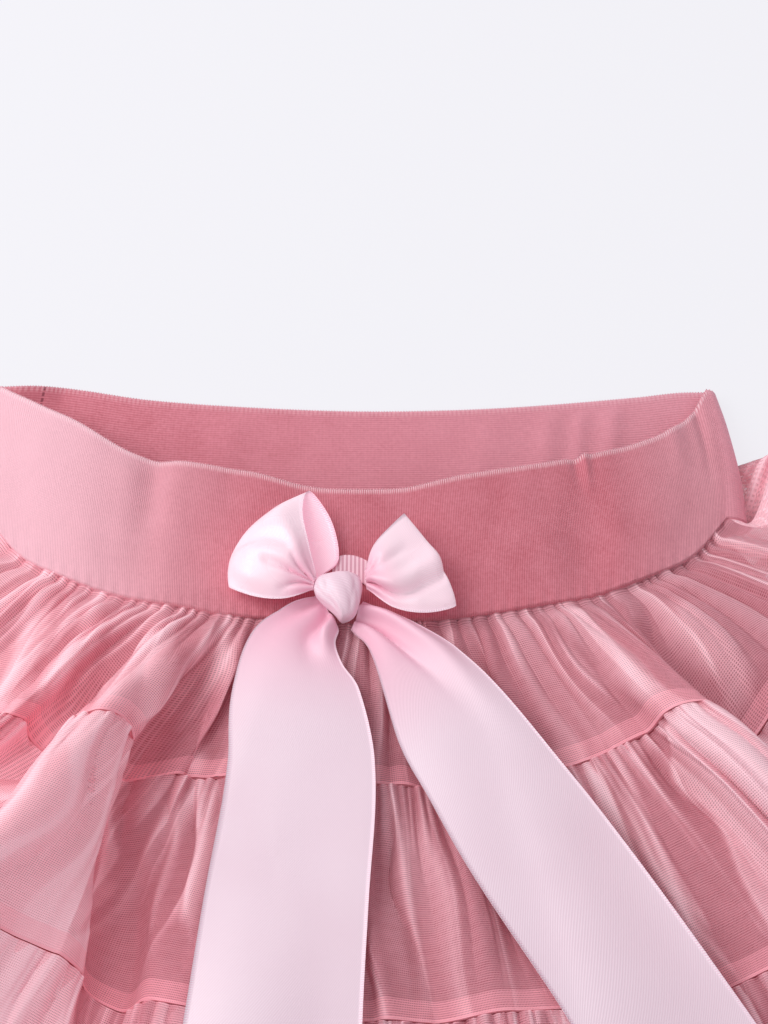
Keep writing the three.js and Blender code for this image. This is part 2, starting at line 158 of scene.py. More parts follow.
def front(u, t, on_band, valleys=1.0):
    """The smooth front of the band or of the tiers; valleys is the share of the hollows' depth."""
    u, t = np.broadcast_arrays(np.asarray(u, float), np.asarray(t, float))
    half = curve(t, HALF_WIDTH) if on_band else SEAM_HALF
    across, down, angle = fan_out(u, 0 * t if on_band else (t - T_SEAM) * LAY)
    seam_y = curve(np.abs(u), FRONT_SEAM)
    y = curve(u, FRONT_TOP) * (1 - t / T_SEAM) + seam_y * (t / T_SEAM) if on_band else seam_y
    low = curve(t, HEIGHTS, 2)
    z = low + (curve(t, HEIGHTS, 1) - low) * (1 - np.abs(u) ** 4)
    lean = 0 * u
    for middle, half_fold, rises, *leans in FOLDS:
        bump = bell(u - middle, half_fold)
        rise = bump * curve(t, list(zip(STATION_T, rises)))
        z = z + np.where(rise < 0, rise * valleys, rise)
        for row in leans:
            lean = lean + bump * curve(t, list(zip(STATION_T, row)))
    return stack(u * half + across + lean * np.cos(angle), y - down + lean * np.sin(angle), z)


def back(u, t, on_band):
    half = curve(t, HALF_WIDTH) if on_band else SEAM_HALF
    across, down, _ = fan_out(u, 0 * t if on_band else (t - T_SEAM) * LAY)
    seam_y = curve(np.abs(u), BACK_SEAM)
    y = curve(u, BACK_TOP) * (1 - t / T_SEAM) + seam_y * (t / T_SEAM) if on_band else seam_y
    return stack(u * half + across, y - down, 0.0)


def side(end, beta, t, edge, floor, fan, on_band):
    """The half round of cloth from the front's edge down to the floor; end is 1 right, -1 left."""
    r = (edge[..., 2] - floor) / 2
    f = 0.0 if on_band else math.radians(fan) * ease((t - T_SEAM) / 25)
    return stack(edge[..., 0] + end * r * np.sin(beta) * np.cos(f),
                 edge[..., 1] + r * np.sin(beta) * np.sin(f),
                 edge[..., 2] + r * (np.cos(beta) - 1))


def ring(k, t, on_band, front_of=None, back_of=None, floor=0.0, fans=(80, 84)):
    """k goes from -1 to 1 over the front, to 2 round the right side, to 4 over the back, to 5 on the left."""
    k, t = np.broadcast_arrays(np.asarray(k, float), np.asarray(t, float))
    front_of = front_of or (lambda u, v: front(u, v, on_band))
    back_of = back_of or (lambda u, v: back(u, v, on_band))
    k = np.where(k < -1, k + 6, k)
    p = front_of(np.clip(k, -1, 1), t)
    q = back_of(np.clip(3 - k, -1, 1), t)
    right = side(1, np.clip(k - 1, 0, 1) * np.pi, t, front_of(np.ones_like(k), t), floor, fans[1], on_band)
    left = side(-1, np.clip(5 - k, 0, 1) * np.pi, t, front_of(-np.ones_like(k), t), floor, fans[0], on_band)
    p = np.where(((k >= 2) & (k <= 4))[..., None], q, p)
    p = np.where(((k > 1) & (k < 2))[..., None], right, p)
    return np.where(((k > 4) & (k <= 5))[..., None], left, p)


def stations(front_steps, side_steps, back_steps):
    """Places k round a ring."""
    return np.concatenate([
        np.linspace(-1, 1, front_steps, endpoint=False), np.linspace(1, 2, side_steps, endpoint=False),
        np.linspace(2, 4, back_steps, endpoint=False), np.linspace(4, 5, side_steps, endpoint=False)])


def directions(surface, k, t):
    """The way out of the cloth, and the way along its ring, at k, t."""
    e = 2e-3
    along = surface(k + e, t) - surface(k - e, t)
    down = surface(k, t + 0.05) - surface(k, t - 0.05)
    return unit(np.cross(down, along)), unit(along)


def lining_front(u, t):
    across, down, _ = fan_out(u, (t - T_SEAM) * LAY, LINING_FAN)
    low = curve(t, LINING_HEIGHTS, 2)
    return stack(u * LINING_HALF + across, curve(np.abs(u), FRONT_SEAM) - down,
                 low + (curve(t, LINING_HEIGHTS, 1) - low) * (1 - np.abs(u) ** 4))


def lining_back(u, t):
    across, down, _ = fan_out(u, (t - T_SEAM) * LAY, LINING_FAN)
    return stack(u * LINING_HALF + across, curve(np.abs(u), BACK_SEAM) - down, LINING_FLOOR)


# seeded smooth noise
def table_noise(x, seed):
    x = np.asarray(x, float)
    values = np.random.default_rng(seed).uniform(-1, 1, 4096)
    i = np.floor(x).astype(int)
    f = ease(x - i)
    return values[i % 4096] * (1 - f) + values[(i + 1) % 4096] * f


def noise2(x, y, seed):
    x, y = np.broadcast_arrays(np.asarray(x, float), np.asarray(y, float))
    values = np.random.default_rng(seed).uniform(-1, 1, (256, 256))
    i, j = np.floor(x).astype(int), np.floor(y).astype(int)
    f, g = ease(x - i), ease(y - j)
    a = values[i % 256, j % 256] * (1 - f) + values[(i + 1) % 256, j % 256] * f
    b = values[i % 256, (j + 1) % 256] * (1 - f) + values[(i + 1) % 256, (j + 1) % 256] * f
    return a * (1 - g) + b * g


def tubes(x, seed, share, power=0.8):
    """Round gathers, each with its own height and length: 0 in the valleys, up to 1 on the tops."""
    i = np.floor(x).astype(int)
    r = np.random.default_rng(seed)
    high, long = r.uniform(0.45, 1.0, 4096)[i % 4096], r.uniform(0.35, 1.25, 4096)[i % 4096]
    return high * ease(1.15 - share / long) * np.abs(np.sin(np.pi * x)) ** power


def crest(x, seed, share):
    """1 on the folded edge of a gather, fading to one side, where the cloth lies double."""
    i = np.floor(x).astype(int)
    r = np.random.default_rng(seed + 1000)
    spans = ((0.25, 0.75), (0.18, 0.42), (0.35, 1.4))
    place, wide, long = (r.uniform(a, b, 4096)[i % 4096] for a, b in spans)
    strong, way = r.uniform(0.2, 1.0, 4096)[i % 4096], np.sign(r.uniform(-1, 1, 4096)[i % 4096])
    f = (x - i - place) * way
    return strong * ease(1.3 - share / long) * np.where(f > 0, np.exp(-f / wide), hump(f, 0.06))


# ribbon tails: along, u, t, height over the cloth, for the left and the right edge
TAIL_LEFT = (
    [(0, -0.10, 38.8, 1.6), (0.05, -0.17, 42.6, 2.4), (0.1, -0.23, 49.5, 3.2), (0.15, -0.244, 58.5, 3.6),
     (0.22, -0.226, 73, 4), (0.34, -0.182, 98, 4), (0.6, -0.158, 141.5, 4.2), (0.78, -0.144, 171.5, 5.4),
     (1, -0.132, 214, 7)],
    [(0, -0.055, 46.5, 1.5), (0.05, -0.042, 51.5, 2.8), (0.1, -0.046, 57, 3.8), (0.15, -0.028, 63.5, 4.2),
     (0.22, 0.008, 72, 4), (0.34, 0.032, 95, 4), (0.6, 0.018, 138, 4.2), (0.78, 0.01, 168, 5.4),
     (1, 0.004, 210, 7)])
TAIL_RIGHT = (
    [(0, -0.012, 50, 1.6), (0.05, 0.022, 55, 2.8), (0.1, 0.04, 62.5, 4), (0.16, 0.056, 74, 4),
     (0.24, 0.076, 90.5, 4), (0.36, 0.11, 108, 4), (0.52, 0.145, 132, 4.2), (0.76, 0.21, 176.5, 5.4),
     (1, 0.245, 218, 7)],
    [(0, 0.018, 40.2, 1.4), (0.05, 0.085, 44, 2.6), (0.1, 0.155, 50.5, 3.6), (0.16, 0.226, 60, 4),
     (0.24, 0.278, 76, 4), (0.36, 0.324, 106.5, 4), (0.52, 0.348, 131, 4.2), (0.76, 0.374, 180, 5.4),
     (1, 0.385, 210, 7)])


def under_ribbon(u, t):
    """1 where a ribbon lies on the cloth, 0 away from it."""
    cover = 0 * u
    for edges in (TAIL_LEFT, TAIL_RIGHT):
        left, right = (np.interp(t, [r[2] for r in edge], [r[1] for r in edge]) for edge in edges)
        inside = np.minimum(u - left, right - u)
        cover = np.maximum(cover, ease(inside / 0.03 + 1) * ease((222 - t) / 8) * ease((t - 40) / 5))
    return cover


# slow waves of each seam and of the hem: count over the front, height, seed
SEAM_WAVES = [(0, 0, 1), (11, 1.7, 21), (12, 2.6, 22), (15, 4.4, 23)]
# gathers of each tier: count over the front, height, seed; and the width of its cut in metres
TIERS = [
    dict(name="tier_1", start=T_SEAM, end=T_1, fine=(57, 1.5, 101), tiny=None, broad=(21, 2.3, 111),
         cut=0.80),
    dict(name="tier_2", start=T_1, end=T_2, fine=(58, 2.0, 102), tiny=(124, 1.1, 122), broad=(23, 3.4, 112),
         cut=1.50),
    dict(name="tier_3", start=T_2, end=T_3, fine=(70, 2.4, 103), tiny=(150, 1.2, 123), broad=(25, 4.2, 113),
         cut=2.00),
]

# places where the gathered cloth is drawn up, down or over: middle and half width at the two seams and
# the hem, then how far it goes along the ring, up towards the waist and out, at the same three
PULLS = [
    # the tall puff on the left and the hollow beside it
    dict(u=(-0.385, -0.315, -0.30), w=(0.055, 0.085, 0.10), along=(6, 5, 3), up=(3.5, 2, 0), out=(3, 9, 6)),
    dict(u=(-0.315, -0.225, -0.20), w=(0.045, 0.05, 0.06), along=(-3, -3, 0), up=(-5, -2, 0),
         out=(-11, -8, -4)),
    dict(u=(-0.49, -0.45, -0.45), w=(0.045, 0.05, 0.06), along=(-2, 0, 0), up=(-5.5, 0, 0), out=(-9, -3, 0)),
    # the ridge on the right and the hollow beyond it
    dict(u=(0.535, 0.50, 0.50), w=(0.06, 0.08, 0.1), along=(3, 4, 2), up=(2.5, 0, 0), out=(4, 3, 2)),
    dict(u=(0.68, 0.68, 0.68), w=(0.10, 0.1, 0.1), along=(-3, -3, 0), up=(-7, -4, 0), out=(-13, -10, -4)),
    # smaller ones between the ribbon tails
    dict(u=(-0.13, -0.12, -0.10), w=(0.05, 0.06, 0.07), along=(0, 1, 1), up=(0.5, 0, 0), out=(2, 5, 4)),
    dict(u=(0.12, 0.10, 0.10), w=(0.06, 0.07, 0.07), along=(0, -1, 0), up=(-0.5, -1, 0), out=(-2, -5, -4)),
    dict(u=(0.24, 0.24, 0.22), w=(0.06, 0.07, 0.07), along=(1, 2, 0), up=(0, 0, 0), out=(2, 5, 3)),
]
# u, and how far the first and the second tier's lower seam lies above its place on the form
SEAM_UP = [
    (-1, 0, 0), (-0.8, -3, 0), (-0.6, -5.5, 0), (-0.45, -1, 2.5), (-0.3, -3.5, 2), (-0.15, -3.2, -3.6),
    (0, -3, -3.2), (0.12, -3.4, -3.2), (0.35, -4.2, -9), (0.5, -3.5, -10), (0.62, -5, -8), (0.8, -4, -4),
    (1, 0, 0)]
# left and right edge of the puff at the seams and the hem
PUFF_LEFT = (-0.60, -0.52, -0.62, -0.66)
PUFF_RIGHT = (-0.34, -0.335, -0.255, -0.24)


def pulls(u, t):
    """Along the ring, up towards the waist and out of the cloth, in mm, and how much of the puff is here."""
    moved = [0 * u, 0 * u, 0 * u]
    fade = ease((t - T_SEAM) / (T_1 - T_SEAM))
    for pull in PULLS:
        middle = np.interp(t, SEAMS, (pull["u"][0],) + pull["u"])
        w = np.interp(t, SEAMS, (pull["w"][0] * 0.8,) + pull["w"])
        bump = bell(u - middle, w) * fade
        for i, key in enumerate(("along", "up", "out")):
            moved[i] = moved[i] + bump * np.interp(t, SEAMS[1:], pull[key])
    share = ease((t - T_1) / (T_2 - T_1))
    seam = curve(u, SEAM_UP, 1) * (1 - share) + curve(u, SEAM_UP, 2) * share
    moved[1] = moved[1] + seam * fade * (1 - 0.6 * ease((t - T_2) / 60))
    left, right = np.interp(t, SEAMS, PUFF_LEFT), np.interp(t, SEAMS, PUFF_RIGHT)
    puff = ease((u - left) / 0.05) * ease((right - u) / 0.015) * ease((t - T_1 + 1) / 3)
    return moved, puff


def seam_wave(number, u):
    """Out of the cloth and along it, in mm, at one seam."""
    count, high, seed = SEAM_WAVES[number]
    if not count:
        return 0 * u, 0 * u
    x = (u + 1) / 2 * count
    wave = table_noise(x, seed) + 0.4 * table_noise(x * 2.3 + 5, seed + 50)
    return high * wave, 0.8 * high * table_noise(x * 0.7 + 31, seed + 60)


# broad folds that stand out with painted light, and hollows that sink with painted shade: middle at the upper
# and the lower end, half width, first t, last t, amount
PANELS = [
    (-0.81, -0.62, 0.035, 46, 97, 0.45), (-0.74, -0.53, 0.03, 50, 97, -0.35),
    (-0.66, -0.49, 0.03, 46, 97, 0.4), (-0.59, -0.42, 0.02, 50, 97, -0.25),
    (-0.49, -0.335, 0.05, 46, 97, 0.35), (-0.405, -0.27, 0.035, 52, 97, -0.35),
    (-0.32, -0.235, 0.022, 46, 97, 0.45), (-0.235, -0.21, 0.008, 97, 150, 0.4),
    (-0.205, -0.18, 0.007, 97, 145, 0.35), (-0.23, -0.215, 0.045, 118, 165, -0.15),
    (-0.26, -0.24, 0.07, 90, 97, 0.4), (0.06, 0.085, 0.012, 97, 167, 0.4),
    (0.03, 0.02, 0.012, 99, 167, -0.3), (0.38, 0.43, 0.05, 46, 97, 0.25), (0.47, 0.50, 0.03, 50, 97, -0.3),
    (0.54, 0.53, 0.025, 46, 92, 0.35), (0.65, 0.60, 0.05, 50, 97, -0.5), (0.76, 0.71, 0.04, 46, 97, 0.1),
    (0.33, 0.33, 0.035, 46, 90, -0.3), (0.555, 0.55, 0.04, 97, 167, 0.55),
    (0.475, 0.415, 0.05, 102, 165, -0.5), (0.42, 0.375, 0.012, 97, 160, 0.4),
    (0.39, 0.34, 0.02, 103, 160, -0.35), (0.34, 0.31, 0.015, 97, 150, 0.3),
    (0.434, 0.435, 0.012, 134, 152, -0.4), (0.404, 0.418, 0.02, 150, 165, -0.35),
    (0.64, 0.71, 0.03, 56, 84, -0.35), (-0.272, -0.263, 0.02, 110, 130, -0.35),
    (-0.188, -0.161, 0.03, 143, 160, -0.3)]
# edges of folds where the mesh lies double on one side: places (t, u), the side, how far it fades, amount
FOLD_EDGES = [
    (((98, 0.523), (108, 0.48), (125, 0.482), (141, 0.462), (164, 0.45)), 1, 0.22, 0.6),
    (((100, 0.398), (135, 0.401), (164, 0.398)), -1, 0.03, 0.4),
    (((98, 0.37), (140, 0.384), (161, 0.397)), -1, 0.012, 0.3),
    (((100, 0.435), (138, 0.437), (159, 0.441)), 1, 0.012, 0.3),
    (((49, 0.479), (70, 0.454), (81, 0.466)), 1, 0.05, 0.35),
    (((48, 0.558), (70, 0.537), (85, 0.541), (96, 0.557)), -1, 0.05, 0.4),
    (((60, 0.735), (75, 0.724), (88, 0.717)), 1, 0.06, 0.4),
    (((46, -0.447), (63, -0.425), (95, -0.415)), 1, 0.05, 0.35),
    (((48, -0.349), (74, -0.338), (94, -0.369)), -1, 0.02, 0.35),
    (((47, -0.581), (70, -0.557), (84, -0.557), (97, -0.526)), 1, 0.03, 0.4),
    (((50, -0.623), (63, -0.657), (83, -0.643), (92, -0.623)), 1, 0.02, 0.3),
    (((53, -0.72), (64, -0.721), (83, -0.664)), 1, 0.02, 0.4),
    (((98, -0.26), (142, -0.253), (162, -0.304)), 1, 0.03, 0.45),
    (((100, -0.278), (124, -0.271), (155, -0.302)), -1, 0.012, 0.35),
    (((100, -0.224), (123, -0.197), (160, -0.156)), 1, 0.02, 0.35),
    (((97, -0.32), (128, -0.315), (160, -0.316)), -1, 0.015, 0.3),
]


def panels(u, t):
    """How much the broad folds stand out and are made denser and paler, as painted light; negative in the
    hollows, which sink and are made darker, as painted shade.
    """
    light = 0 * u
    for top, bottom, half, first, last, amount in PANELS:
        middle = top + (bottom - top) * np.clip((t - first) / (last - first), 0, 1)
        light = light + amount * bell(u - middle, half) * ease((t - first + 4) / 8) * ease((last + 3 - t) / 8)
    return light


def fold_edges(u, t):
    """How much closer the mesh is along the folds' edges: sharp on one side, fading on the other."""
    light = 0 * u
    for path, way, fade, amount in FOLD_EDGES:
        first, last = path[0][0], path[-1][0]
        aside = (u - curve(np.clip(t, first, last), path)) * way
        shape = np.where(aside > 0, np.exp(-aside / fade), hump(aside, 0.004))
        light = light + amount * shape * ease((t - first + 4) / 8) * ease((last + 5 - t) / 8)
    return light


def gathers(tier, number, u, s, ply):
    """The gathers between two seams: out of the cloth and along it in mm, and how dense the mesh is."""
    x = (u + 1) / 2
    from_top, to_bottom = 1 - ease(s / 0.55), ease((s - 0.25) / 0.75)
    out_top, lean_top = seam_wave(number, u)
    out_bottom, lean_bottom = seam_wave(number + 1, u)
    out = out_top * from_top + out_bottom * to_bottom
    lean = lean_top * from_top + lean_bottom * to_bottom
    drift = 0.014 * table_noise(x * 9 + 3, 300 + number) * s + 0.008 * noise2(x * 23, s * 2.2, 310 + number)
    phase = 0.0021 * ply

    count, high, seed = tier["fine"]
    xf = (x + drift + phase) * count
    xf = xf + 0.5 * table_noise(xf * 0.41, seed + 7) + 0.22 * table_noise(xf * 1.1, seed + 8)
    start = 0.62 + 0.38 * ease(s / 0.12)
    fine = high * start * (2 * tubes(xf, seed, s) - 0.9 * ease(1.25 - s)) * ease((1.02 - s) / 0.2)
    fine = fine * (0.72 + 0.38 * table_noise(xf * 0.17 + 40, seed + 10))
    out = out + fine
    lean = lean + 0.9 * fine * table_noise(xf * 0.23 + 11, seed + 9)
    density_and_light = 0.85 * crest(xf, seed, s) + 0.15 * ease(1 - s / 0.3)

    count, high, seed = tier["broad"]
    xb = (x + drift * 1.6 + phase * 0.5) * count
    xb = xb + 0.55 * table_noise(xb * 0.5, seed + 7)
    grow = ease(s / 0.4) * (0.3 + 0.7 * ease((1 - s) / 0.4))
    broad = high * grow * (2 * tubes(xb, seed, 0 * s, 0.95) - 0.8)
    out = out + broad
    lean = lean + 1.9 * broad * table_noise(xb * 0.37 + 5, seed + 9)
    density_and_light = density_and_light + 0.7 * crest(xb, seed, 0 * s) * ease(s / 0.3)

    if tier["tiny"]:
        count, high, seed = tier["tiny"]
        xt = (x + phase * 0.6) * count
        xt = xt + 0.4 * table_noise(xt * 0.6, seed + 7)
        tiny = high * ease(1 - s / 0.5) * (1.6 * tubes(xt, seed, s * 2.2, 0.75) - 0.7)
        out = out + tiny
        lean = lean + 0.5 * tiny * table_noise(xt * 0.2, seed + 9)
        density_and_light = density_and_light + 0.65 * crest(xt, seed, s * 2.1)
    return out, lean, density_and_light


def lie(tier, number, u, s, ply):
    """How far a tier's cloth stands out, leans along and is drawn up, in mm, and its density with painted
    light and shade mixed in.
    """
    edge = ease((1 - np.abs(u)) / 0.05)
    t = tier["start"] + s * (tier["end"] - tier["start"])
    out, lean, density_and_light = gathers(tier, number, u, s, ply)
    out = out - (1.35 if number == 0 else 0.2) * (1 - ease(s / 0.16))
    out = out - 0.9 * ply * ease(s / 0.1) - 0.35 * ply
    (far, up, rise), puff = pulls(u, t)
    calm = 1 - 0.45 * puff
    out = out * calm + rise
    lean = lean * calm + far
    # painted light and shade: the panels make the cloth paler on broad folds and darker in hollows, beside
    # the doubled fold edges; both also move it out and in
    light = panels(u, t) + fold_edges(u, t) - 0.14
    out = out + 1.6 * light
    # painted light and shade: the puff and raised places are made denser and paler, sunk places thinner and
    # darker
    density_and_light = density_and_light * calm + 0.5 * puff + 0.2 * ease(rise / 8) - 0.2 * ease(-rise / 8) + light
    # the ribbon presses the gathers flat
    cover = under_ribbon(u, t)
    limit = 2.4
    out = np.where(out > limit, out * (1 - cover) + cover * (limit + 0.15 * np.tanh(out - limit)), out)
    return out * edge, lean * edge * (1 - 0.6 * cover), up * edge, np.clip(density_and_light, 0, 1)


# least height of the tiers' front, so that it stays over the lining
OVER_LINING = [(T_SEAM, 27.2), (T_1, 31.5), (T_2, 36.5), (T_LINING, 35.5), (T_3, 14)]
# how high the loose cloth at the right and the left side stands up
FLARES = ((1, 27.0), (-1, 20.0))
CLEAR = 0.15


def flare(p, k, t):
    """The loose cloth at the two sides stands up beside the band."""
    r = t - T_SEAM
    for end, high in FLARES:
        turn = k - 1 if end > 0 else 5 - np.where(k < 1, k + 6, k)
        here = ease((turn + 0.04) / 0.3) * ease((1.55 - turn) / 0.5)
        begins = 8 * (1 - ease(turn / 0.35))
        lift = high * here * ease((r - begins) / 15) * (1 - 0.35 * ease((r - 60) / 90))
        billow = (5 + 3 * np.sin(turn * 14 + r * 0.05)) * ease(turn / 0.2) * ease((1.2 - turn) / 0.3)
        p[..., 1] += lift * (1 + 0.18 * np.sin(r * 0.16 + turn * 5))
        p[..., 2] += 2.5 * hump(turn, 0.15) * ease((r - 2) / 14)
        p[..., 0] += end * here * (1.5 + 2.5 * np.sin(turn * 9)) * ease(r / 25)
        p[..., 2] += here * ease(r / 20) * billow
    return p


def tier_points(tier, number, k, s, ply):
    """Points of a tier's ply at stations k round it and shares s down it."""
    K, S = crossed(k, s)
    T = tier["start"] + CLEAR + S * (tier["end"] - tier["start"] - 2 * CLEAR)
    surface = lambda a, b: ring(a, b, False)
    p = surface(K, T)
    n, along = directions(surface, K, T)
    u = np.clip(K, -1, 1)
    out, lean, up, density_and_light = lie(tier, number, u, S, ply)
    on_front = K <= 1
    # the back lies pressed on the surface: its gathers only rise into the skirt
    out_back, lean_back, _, density_and_light_back = lie(tier, number, np.clip(3 - K, -1, 1) * 0.97, S, ply)
    on_back = (K >= 2) & (K <= 4)
    fade = ease((K - 2) / 0.1) * ease((4 - K) / 0.1)
    out_back = -(0.25 + 0.5 * ply + 0.22 * (out_back + 2.2)) * fade - 0.25 * (1 - fade)
    out = np.where(on_front, out, np.where(on_back, out_back, -0.25))
    lean = np.where(on_front, lean, np.where(on_back, lean_back * 0.3 * fade, 0))
    out = np.where(on_back, np.minimum(out, -0.2), out)
    # painted light: the two sides get full density, so that they look pale where they lie in shade
    density_and_light = np.where(on_front, density_and_light, np.where(on_back, density_and_light_back, 1.0))
    # the first tier's upper edge is sewn in between the two layers of the band
    tucked = (1 - ease(S / 0.04)) * (number == 0) * np.where(on_back, 0, 1)
    out = out - 0.8 * tucked * (1 - ease((1 - np.abs(u)) / 0.05))
    p = p + n * out[..., None] + along * lean[..., None]
    p[..., 1] += 1.1 * tucked
    p[..., 1] += np.where(on_front, up, 0)
    p = flare(p, K, T)
    over = curve(T, OVER_LINING) * (1 - np.abs(u) ** 4) - 0.8 * ply
    over = np.where(on_front & (np.abs(u) < 0.97), over, CLEAR)
    p[..., 2] = over + 0.5 * (p[..., 2] - over + np.sqrt((p[..., 2] - over) ** 2 + 0.3))
    p[..., 2] = np.where(on_back, np.clip(p[..., 2], CLEAR, None), p[..., 2])
    return p, T, density_and_light


# mesh making
def mesh_object(name, verts, faces, uvs):
    """A smooth mesh from points in mm; uvs are in mm, one for each point or one for each corner."""
    me = bpy.data.meshes.new(name)
    verts = (np.asarray(verts, float) - CENTRE) * 0.001
    me.vertices.add(len(verts))
    me.vertices.foreach_set("co", verts.astype(np.float32).ravel())
    faces = np.asarray(faces, np.int32)
    me.loops.add(faces.size)
    me.loops.foreach_set("vertex_index", faces.ravel())
    me.polygons.add(len(faces))
    me.polygons.foreach_set("loop_start", np.arange(0, faces.size, faces.shape[1], dtype=np.int32))
    me.update(calc_edges=True)
    corners = np.asarray(uvs / UV_UNIT, np.float32)
    corners = corners[faces.ravel()] if len(uvs) == len(verts) else corners
    me.uv_layers.new(name="UVMap").data.foreach_set("uv", corners.ravel())
    me.validate()
    me.polygons.foreach_set("use_smooth", np.ones(len(me.polygons), dtype=bool))
    ob = bpy.data.objects.new(name, me)
    bpy.context.scene.collection.objects.link(ob)
    return ob


def grid_faces(n, m, wrap, offset=0, flip=False):
    i = np.arange(n if wrap else n - 1)
    j = np.arange(m - 1)
    I, J = crossed(i, j)
    a = I * m + J
    b = ((I + 1) % n) * m + J
    quads = np.stack([a, b, b + 1, a + 1], -1).reshape(-1, 4) + offset
    return quads[:, ::-1] if not flip else quads


def grid_uv(n, m, x, y):
    """Places on the cut for an n by m grid of points."""
    return np.stack([np.broadcast_to(x, (n, m)).reshape(-1), np.broadcast_to(y, (n, m)).reshape(-1)], -1)


def tube_uv(faces, n, m, x_mm, y_mm):
    """Each corner's place on the cut in mm, with no jump where the tube closes."""
    uv = grid_uv(n, m, (np.arange(n) / n * x_mm)[:, None], y_mm)[faces.ravel()]
    wrapped = (faces.ravel() // m == 0) & np.repeat(faces.max(1) // m == n - 1, 4)
    uv[wrapped, 0] = x_mm
    return uv


def tube_sheet(name, points, x_mm, y_mm, density_and_light=None):
    """An open tube of cloth in one layer; x_mm is the cut's width and y_mm the length down it."""
    n, m = points.shape[:2]
    faces = grid_faces(n, m, True)
    ob = mesh_object(name, points.reshape(-1, 3), faces, tube_uv(faces, n, m, x_mm, y_mm))
    if density_and_light is not None:
        layer = ob.data.attributes.new("density_and_light", "FLOAT", "POINT")
        layer.data.foreach_set("value", density_and_light.astype(np.float32).ravel())
    return ob


def ribbon_sheet(name, points, wall, width_mm, length_mm):
    """A length of ribbon with a thin wall; points are across by along."""
    n, m = points.shape[:2]
    way = unit(np.cross(np.gradient(points, axis=0), np.gradient(points, axis=1)))
    top, low = points + way * wall / 2, points - way * wall / 2
    faces = [grid_faces(n, m, False, 0, True), grid_faces(n, m, False, n * m)]
    index = np.arange(n * m).reshape(n, m)
    for row, flip in ((index[:, 0], False), (index[:, -1], True), (index[0, :], True), (index[-1, :], False)):
        quads = np.stack([row[:-1], row[1:], row[1:] + n * m, row[:-1] + n * m], -1)
        faces.append(quads[:, ::-1] if flip else quads)
    uv = grid_uv(n, m, np.linspace(0, width_mm, n)[:, None], np.linspace(0, length_mm, m)[None, :])
    verts = np.concatenate([top.reshape(-1, 3), low.reshape(-1, 3)])
    return mesh_object(name, verts, np.concatenate(faces), np.concatenate([uv, uv]))


# materials
def srgb(r, g, b):
    f = lambda c: (c / 255 / 12.92) if c / 255 <= 0.04045 else ((c / 255 + 0.055) / 1.055) ** 2.4
    return (f(r), f(g), f(b), 1.0)


class Nodes:
    """A material's nodes; x and y are the place on the cut in mm."""
    INPUTS = dict(color="Base Color", rough="Roughness", alpha="Alpha", sheen="Sheen Weight",
                  sheen_rough="Sheen Roughness", sheen_tint="Sheen Tint", specular="Specular IOR Level",
                  aniso="Anisotropic", glow="Emission Color", glow_power="Emission Strength")

    def __init__(self, name):
        self.mat = bpy.data.materials.new(name)
        self.mat.use_nodes = True
        self.tree = self.mat.node_tree
        self.tree.nodes.clear()
        out = self.tree.nodes.new("ShaderNodeOutputMaterial")
        self.bsdf = self.tree.nodes.new("ShaderNodeBsdfPrincipled")
        self.link(self.bsdf.outputs[0], out.inputs[0])
        uv = self.tree.nodes.new("ShaderNodeUVMap")
        uv.uv_map = "UVMap"
        split = self.tree.nodes.new("ShaderNodeSeparateXYZ")
        self.link(uv.outputs[0], split.inputs[0])
        self.x = self.times(split.outputs[0], UV_UNIT)
        self.y = self.times(split.outputs[1], UV_UNIT)
        self.place = self.tree.nodes.new("ShaderNodeTexCoord").outputs["Object"]

    def link(self, a, b):
        self.tree.links.new(a, b)

    def put(self, socket, value):
        if isinstance(value, bpy.types.NodeSocket):
            self.link(value, socket)
        else:
            socket.default_value = value

    def math(self, op, *values):
        n = self.tree.nodes.new("ShaderNodeMath")
        n.operation = op
        for socket, value in zip(n.inputs, values):
            self.put(socket, value)
        return n.outputs[0]

    def times(self, a, b):
        return self.math("MULTIPLY", a, b)

    def muladd(self, a, b, c):
        """a * b + c"""
        return self.math("MULTIPLY_ADD", a, b, c)

    def minus(self, a, b):
        return self.math("SUBTRACT", a, b)

    def gap(self, a, b):
        return self.math("ABSOLUTE", self.minus(a, b))

    def most(self, a, b):
        return self.math("MAXIMUM", a, b)

    def map(self, value, a, b, c=0.0, d=1.0, kind="SMOOTHSTEP"):
        """c where value is a, d where it is b."""
        n = self.tree.nodes.new("ShaderNodeMapRange")
        n.interpolation_type = kind
        n.clamp = True
        for i, v in enumerate((value, a, b, c, d)):
            self.put(n.inputs[i], v)
        return n.outputs[0]

    def between(self, share, a, b):
        return self.map(share, 0.0, 1.0, a, b, "LINEAR")

    def lines(self, coord, pitch, low, high):
        """1 on lines spaced by pitch, 0 between them."""
        f = self.math("FRACT", self.muladd(coord, 1.0 / pitch, 0.0))
        return self.map(self.gap(f, 0.5), low, high)

    def noise(self, scale, detail):
        n = self.tree.nodes.new("ShaderNodeTexNoise")
        n.inputs["Scale"].default_value = scale
        n.inputs["Detail"].default_value = detail
        self.link(self.place, n.inputs["Vector"])
        return n.outputs[0]

    def mix(self, factor, a, b):
        n = self.tree.nodes.new("ShaderNodeMix")
        n.data_type = "RGBA"
        self.put(n.inputs[0], factor)
        self.put(n.inputs[6], a)
        self.put(n.inputs[7], b)
        return n.outputs[2]

    def bump(self, height, strength, distance):
        n = self.tree.nodes.new("ShaderNodeBump")
        n.inputs["Strength"].default_value = strength
        n.inputs["Distance"].default_value = distance
        self.link(height, n.inputs["Height"])
        self.link(n.outputs[0], self.bsdf.inputs["Normal"])

    def set(self, **values):
        for key, value in values.items():
            self.put(self.bsdf.inputs[self.INPUTS[key]], value)


